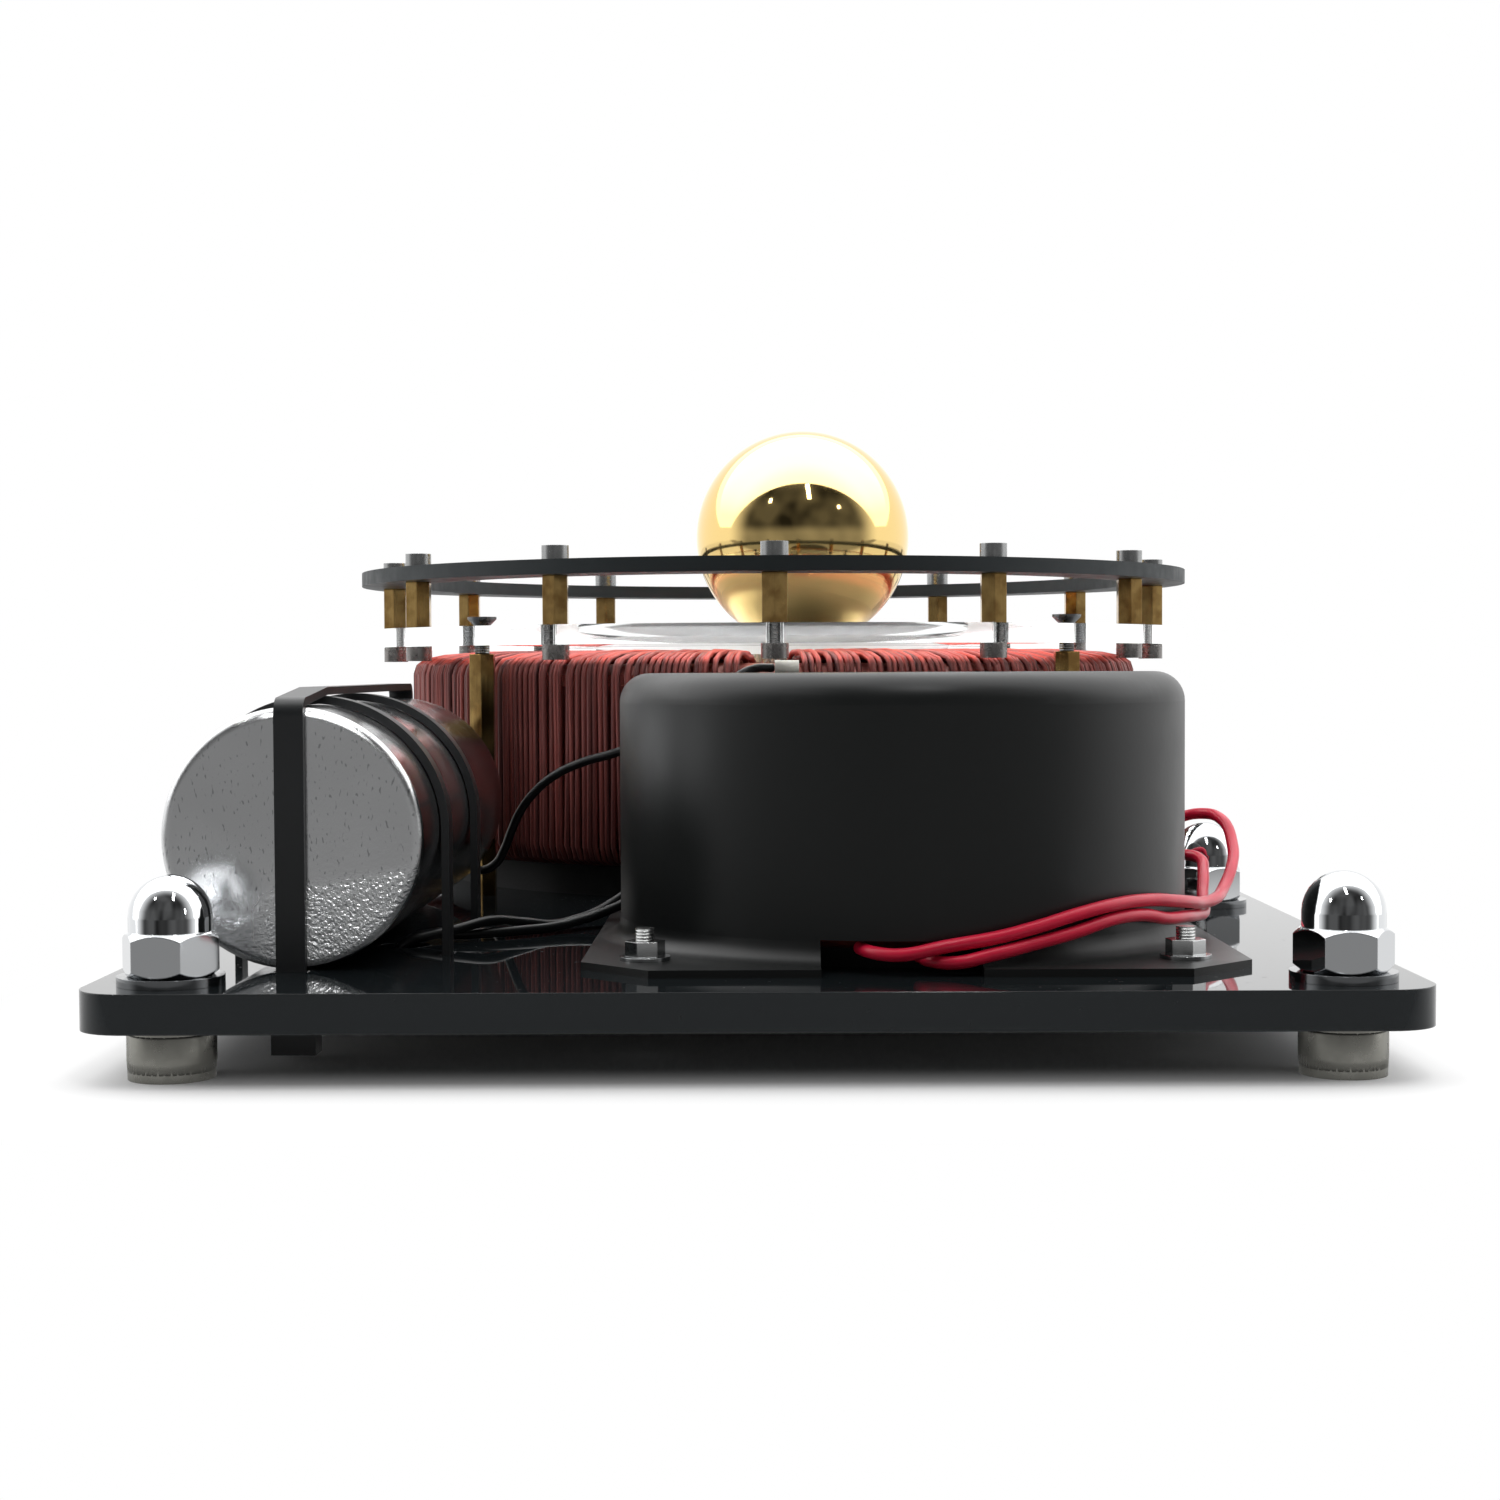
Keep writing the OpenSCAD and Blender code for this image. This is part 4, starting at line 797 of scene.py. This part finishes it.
class DEMO_OT_coil(bpy.types.Operator):
    """The ring coil: several hundred turns of wire, the turns beneath and the sleeves"""

    bl_idname = "demo.coil"
    bl_label = "Coil"

    def execute(self, context):
        looks = context.scene.demo_winding
        centre = middle("coil_pad")
        path = self.turn_path(looks, centre)
        mesh = curve_to_mesh(tube_curve("coil_wire", path, looks.wire, 1), "coil_wire")
        mesh.shade_smooth()
        enamel = enamelled_wire(looks, centre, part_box("coil_winding")[1].z)
        wire = add_piece("coil_wire", mesh, enamel, "copper_wire", "coil_winding")
        lit_by("lamp_coil").objects.link(wire)
        dress(shaded_turns(), "coil_turns")
        dress(moulded("white_insulating_sleeve", "#efece2", 0.5, 0.6), "coil_sleeves")
        dress(moulded("varnished_tape", "#c9bd94", 0.6, 0.8), "core_wrap")
        dress(bright_metal("wound_iron_strip", "#6d7076", 0.5, 1.0), "coil_core", "transformer_core")
        return {"FINISHED"}

    def turn_path(self, looks, centre):
        """Centre line of the outer layer. Every other turn dips under its neighbours towards the hole,
        where there is only half the room."""
        dice = random.Random(11)
        low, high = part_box("coil_winding")
        half = looks.wire / 2
        outer, inner = (high.x - low.x) / 2 - half, HOLE_RADIUS + half
        floor, top, bend = low.z + half, high.z - half, looks.corner
        rise, mid = looks.crown, HALF_WAY * looks.corner
        step = WOUND_ANGLE / looks.turns
        points = []
        for turn in range(looks.turns):
            at = FIRST_TURN + step * turn
            stray = looks.disorder * step
            upper, lower = at + dice.gauss(0, 0.6) * stray, at + dice.gauss(0, 0.6) * stray
            puff = abs(dice.gauss(0, 0.5)) * MM * looks.disorder
            lift = abs(dice.gauss(0, 1.3)) * MM * looks.disorder
            dip = (turn % 2) * looks.wire * DIP
            out, edge, crest = outer - puff, top - rise - lift, top - 0.4 * lift
            for radius, height, angle in (
                (out, floor + bend, lower),
                (out - 0.5 * puff, (floor + edge) / 2, (upper + lower) / 2),
                (out, edge + 0.4 * MM, upper),
                (out - 0.5 * MM, edge + 2.0 * MM, upper),
                (out - 2.0 * MM, edge + 0.68 * (crest - edge), upper),
                (out - 6.5 * MM, edge + 0.88 * (crest - edge), upper),
                (out - 14 * MM, crest - 0.3 * dip, (upper + at) / 2),
                (inner + 18 * MM, crest - dip, at),
                (inner + 10 * MM + dip, crest - dip, at),
                (inner + 4 * MM + dip, crest - dip - 0.2 * rise, at),
                (inner + 1.2 * MM + dip, crest - dip - 0.52 * rise, at),
                (inner + dip, crest - dip - rise, at),
                (inner + dip, floor + dip + bend, at),
                (inner + dip + mid, floor + dip + mid, at),
                (inner + dip + bend, floor + dip, at),
                (out - 14 * MM, floor + 0.5 * dip, at + 0.5 * step),
                (out - bend, floor, at + step),
                (out - mid, floor + mid, at + step),
            ):
                x, y = centre.x + radius * math.cos(angle), centre.y + radius * math.sin(angle)
                points.append((x, y, height))
        return points


class DEMO_OT_deck(bpy.types.Operator):
    """The clear stage, its pillars, the fence posts and their screws"""

    bl_idname = "demo.deck"
    bl_label = "Stage and fence"

    def execute(self, context):
        finish = context.scene.demo_finish
        low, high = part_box("stage_plate")
        dress(clear_acrylic((low + high) / 2, (high.x - low.x) / 2), "stage_plate")
        dress(satin_acrylic(finish), "fence_ring")
        dress(turned_brass(finish), "stage_pillars", "fence_posts_group")
        under = high.z - 4 * MM
        dress(bright_metal("screw_steel_lower", "#807d7b", 0.26, 1.5, 0.15, (under, under + 8 * MM)),
              "fence_lower_screws")
        dress(bright_metal("screw_steel_upper", "#979898", 0.26, 1.5, 0.15), "fence_upper_screws")
        dress(bright_metal("screw_steel_dark", "#6f7173", 0.3, 1.5, 0.1, (under - 6 * MM, under + 4 * MM)),
              "pillar_top_screws", "pillar_base_screws")
        return {"FINISHED"}


class DEMO_OT_ball(bpy.types.Operator):
    """The hollow brass ball"""

    bl_idname = "demo.ball"
    bl_label = "Ball"

    def execute(self, context):
        dress(mirror_brass(context.scene.demo_finish), "brass_ball")
        return {"FINISHED"}


class DEMO_OT_transformer(bpy.types.Operator):
    """The bell cover with its bolts, and the transformer inside"""

    bl_idname = "demo.transformer"
    bl_label = "Transformer"

    def execute(self, context):
        dress(powder_coat(context.scene.demo_finish), "transformer_cover")
        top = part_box("cover_nuts")[1].z
        thread = (top - 8 * MM, top + 2.2 * MM)
        dress(bright_metal("cover_bolt_steel", "#b9bab9", 0.2, 1.5, 0.12, thread), "cover_bolts")
        dress(bright_metal("cover_nut_steel", "#c3c4c4", 0.16, 2.0, 0.25), "cover_nuts")
        dress(bright_metal("bright_zinc_plate", "#c6c8c9", 0.16, 4.0, 0.15), "cover_washers")
        dress(MATERIALS.get("inner_copper_turns") or shaded_turns(), "transformer_winding")
        return {"FINISHED"}


class DEMO_OT_capacitor(bpy.types.Operator):
    """The capacitor can, its end disc, tabs and cable ties"""

    bl_idname = "demo.capacitor"
    bl_label = "Capacitor"

    def execute(self, context):
        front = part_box("capacitor_can")[0].y
        dress(spangled_tinplate(context.scene.demo_finish, front), "capacitor_can")
        dress(moulded("film_roll", "#d8cfb4", 0.5, 0.5), "capacitor_roll")
        dress(moulded("brown_phenolic_board", "#4a2f20", 0.45, 0.9), "capacitor_end_disc")
        dress(bright_metal("tinned_tab", "#cfcfc9", 0.28, 1.2), "capacitor_tabs")
        dress(moulded("black_nylon", "#1d1f21", 0.38, 1.1, 0.25), "tie_lengthwise", "tie_round_front",
              "tie_round_rear")
        return {"FINISHED"}


class DEMO_PT_panel(bpy.types.Panel):
    """Lists the sizes, colours and pieces of the demonstrator"""

    bl_label = "Demonstrator"
    bl_idname = "DEMO_PT_panel"
    bl_space_type = "VIEW_3D"
    bl_region_type = "UI"
    bl_category = "Demonstrator"

    def draw(self, context):
        for group in GROUPS:
            box = self.layout.box()
            looks = getattr(context.scene, group)
            for name in looks.bl_rna.properties.keys():
                if name not in ("rna_type", "name"):
                    box.prop(looks, name)
        for operator in OPERATORS:
            self.layout.operator(operator.bl_idname)


OPERATORS = (DEMO_OT_studio, DEMO_OT_leads, DEMO_OT_base, DEMO_OT_feet, DEMO_OT_coil, DEMO_OT_deck,
             DEMO_OT_ball, DEMO_OT_transformer, DEMO_OT_capacitor)
GROUPS = {"demo_winding": WindingLooks, "demo_feet": FeetLooks, "demo_finish": FinishLooks,
          "demo_studio": StudioLooks}


def register():
    for item in (*GROUPS.values(), *OPERATORS, DEMO_PT_panel):
        bpy.utils.register_class(item)
    for name, group in GROUPS.items():
        setattr(bpy.types.Scene, name, PointerProperty(type=group))


def unregister():
    for name in GROUPS:
        delattr(bpy.types.Scene, name)
    for item in (DEMO_PT_panel, *reversed(OPERATORS), *reversed(GROUPS.values())):
        bpy.utils.unregister_class(item)


def main():
    """Builds everything in order."""
    register()
    for operator in OPERATORS:
        family, name = operator.bl_idname.split(".")
        getattr(getattr(bpy.ops, family), name)()


if __name__ == "__main__":
    main()
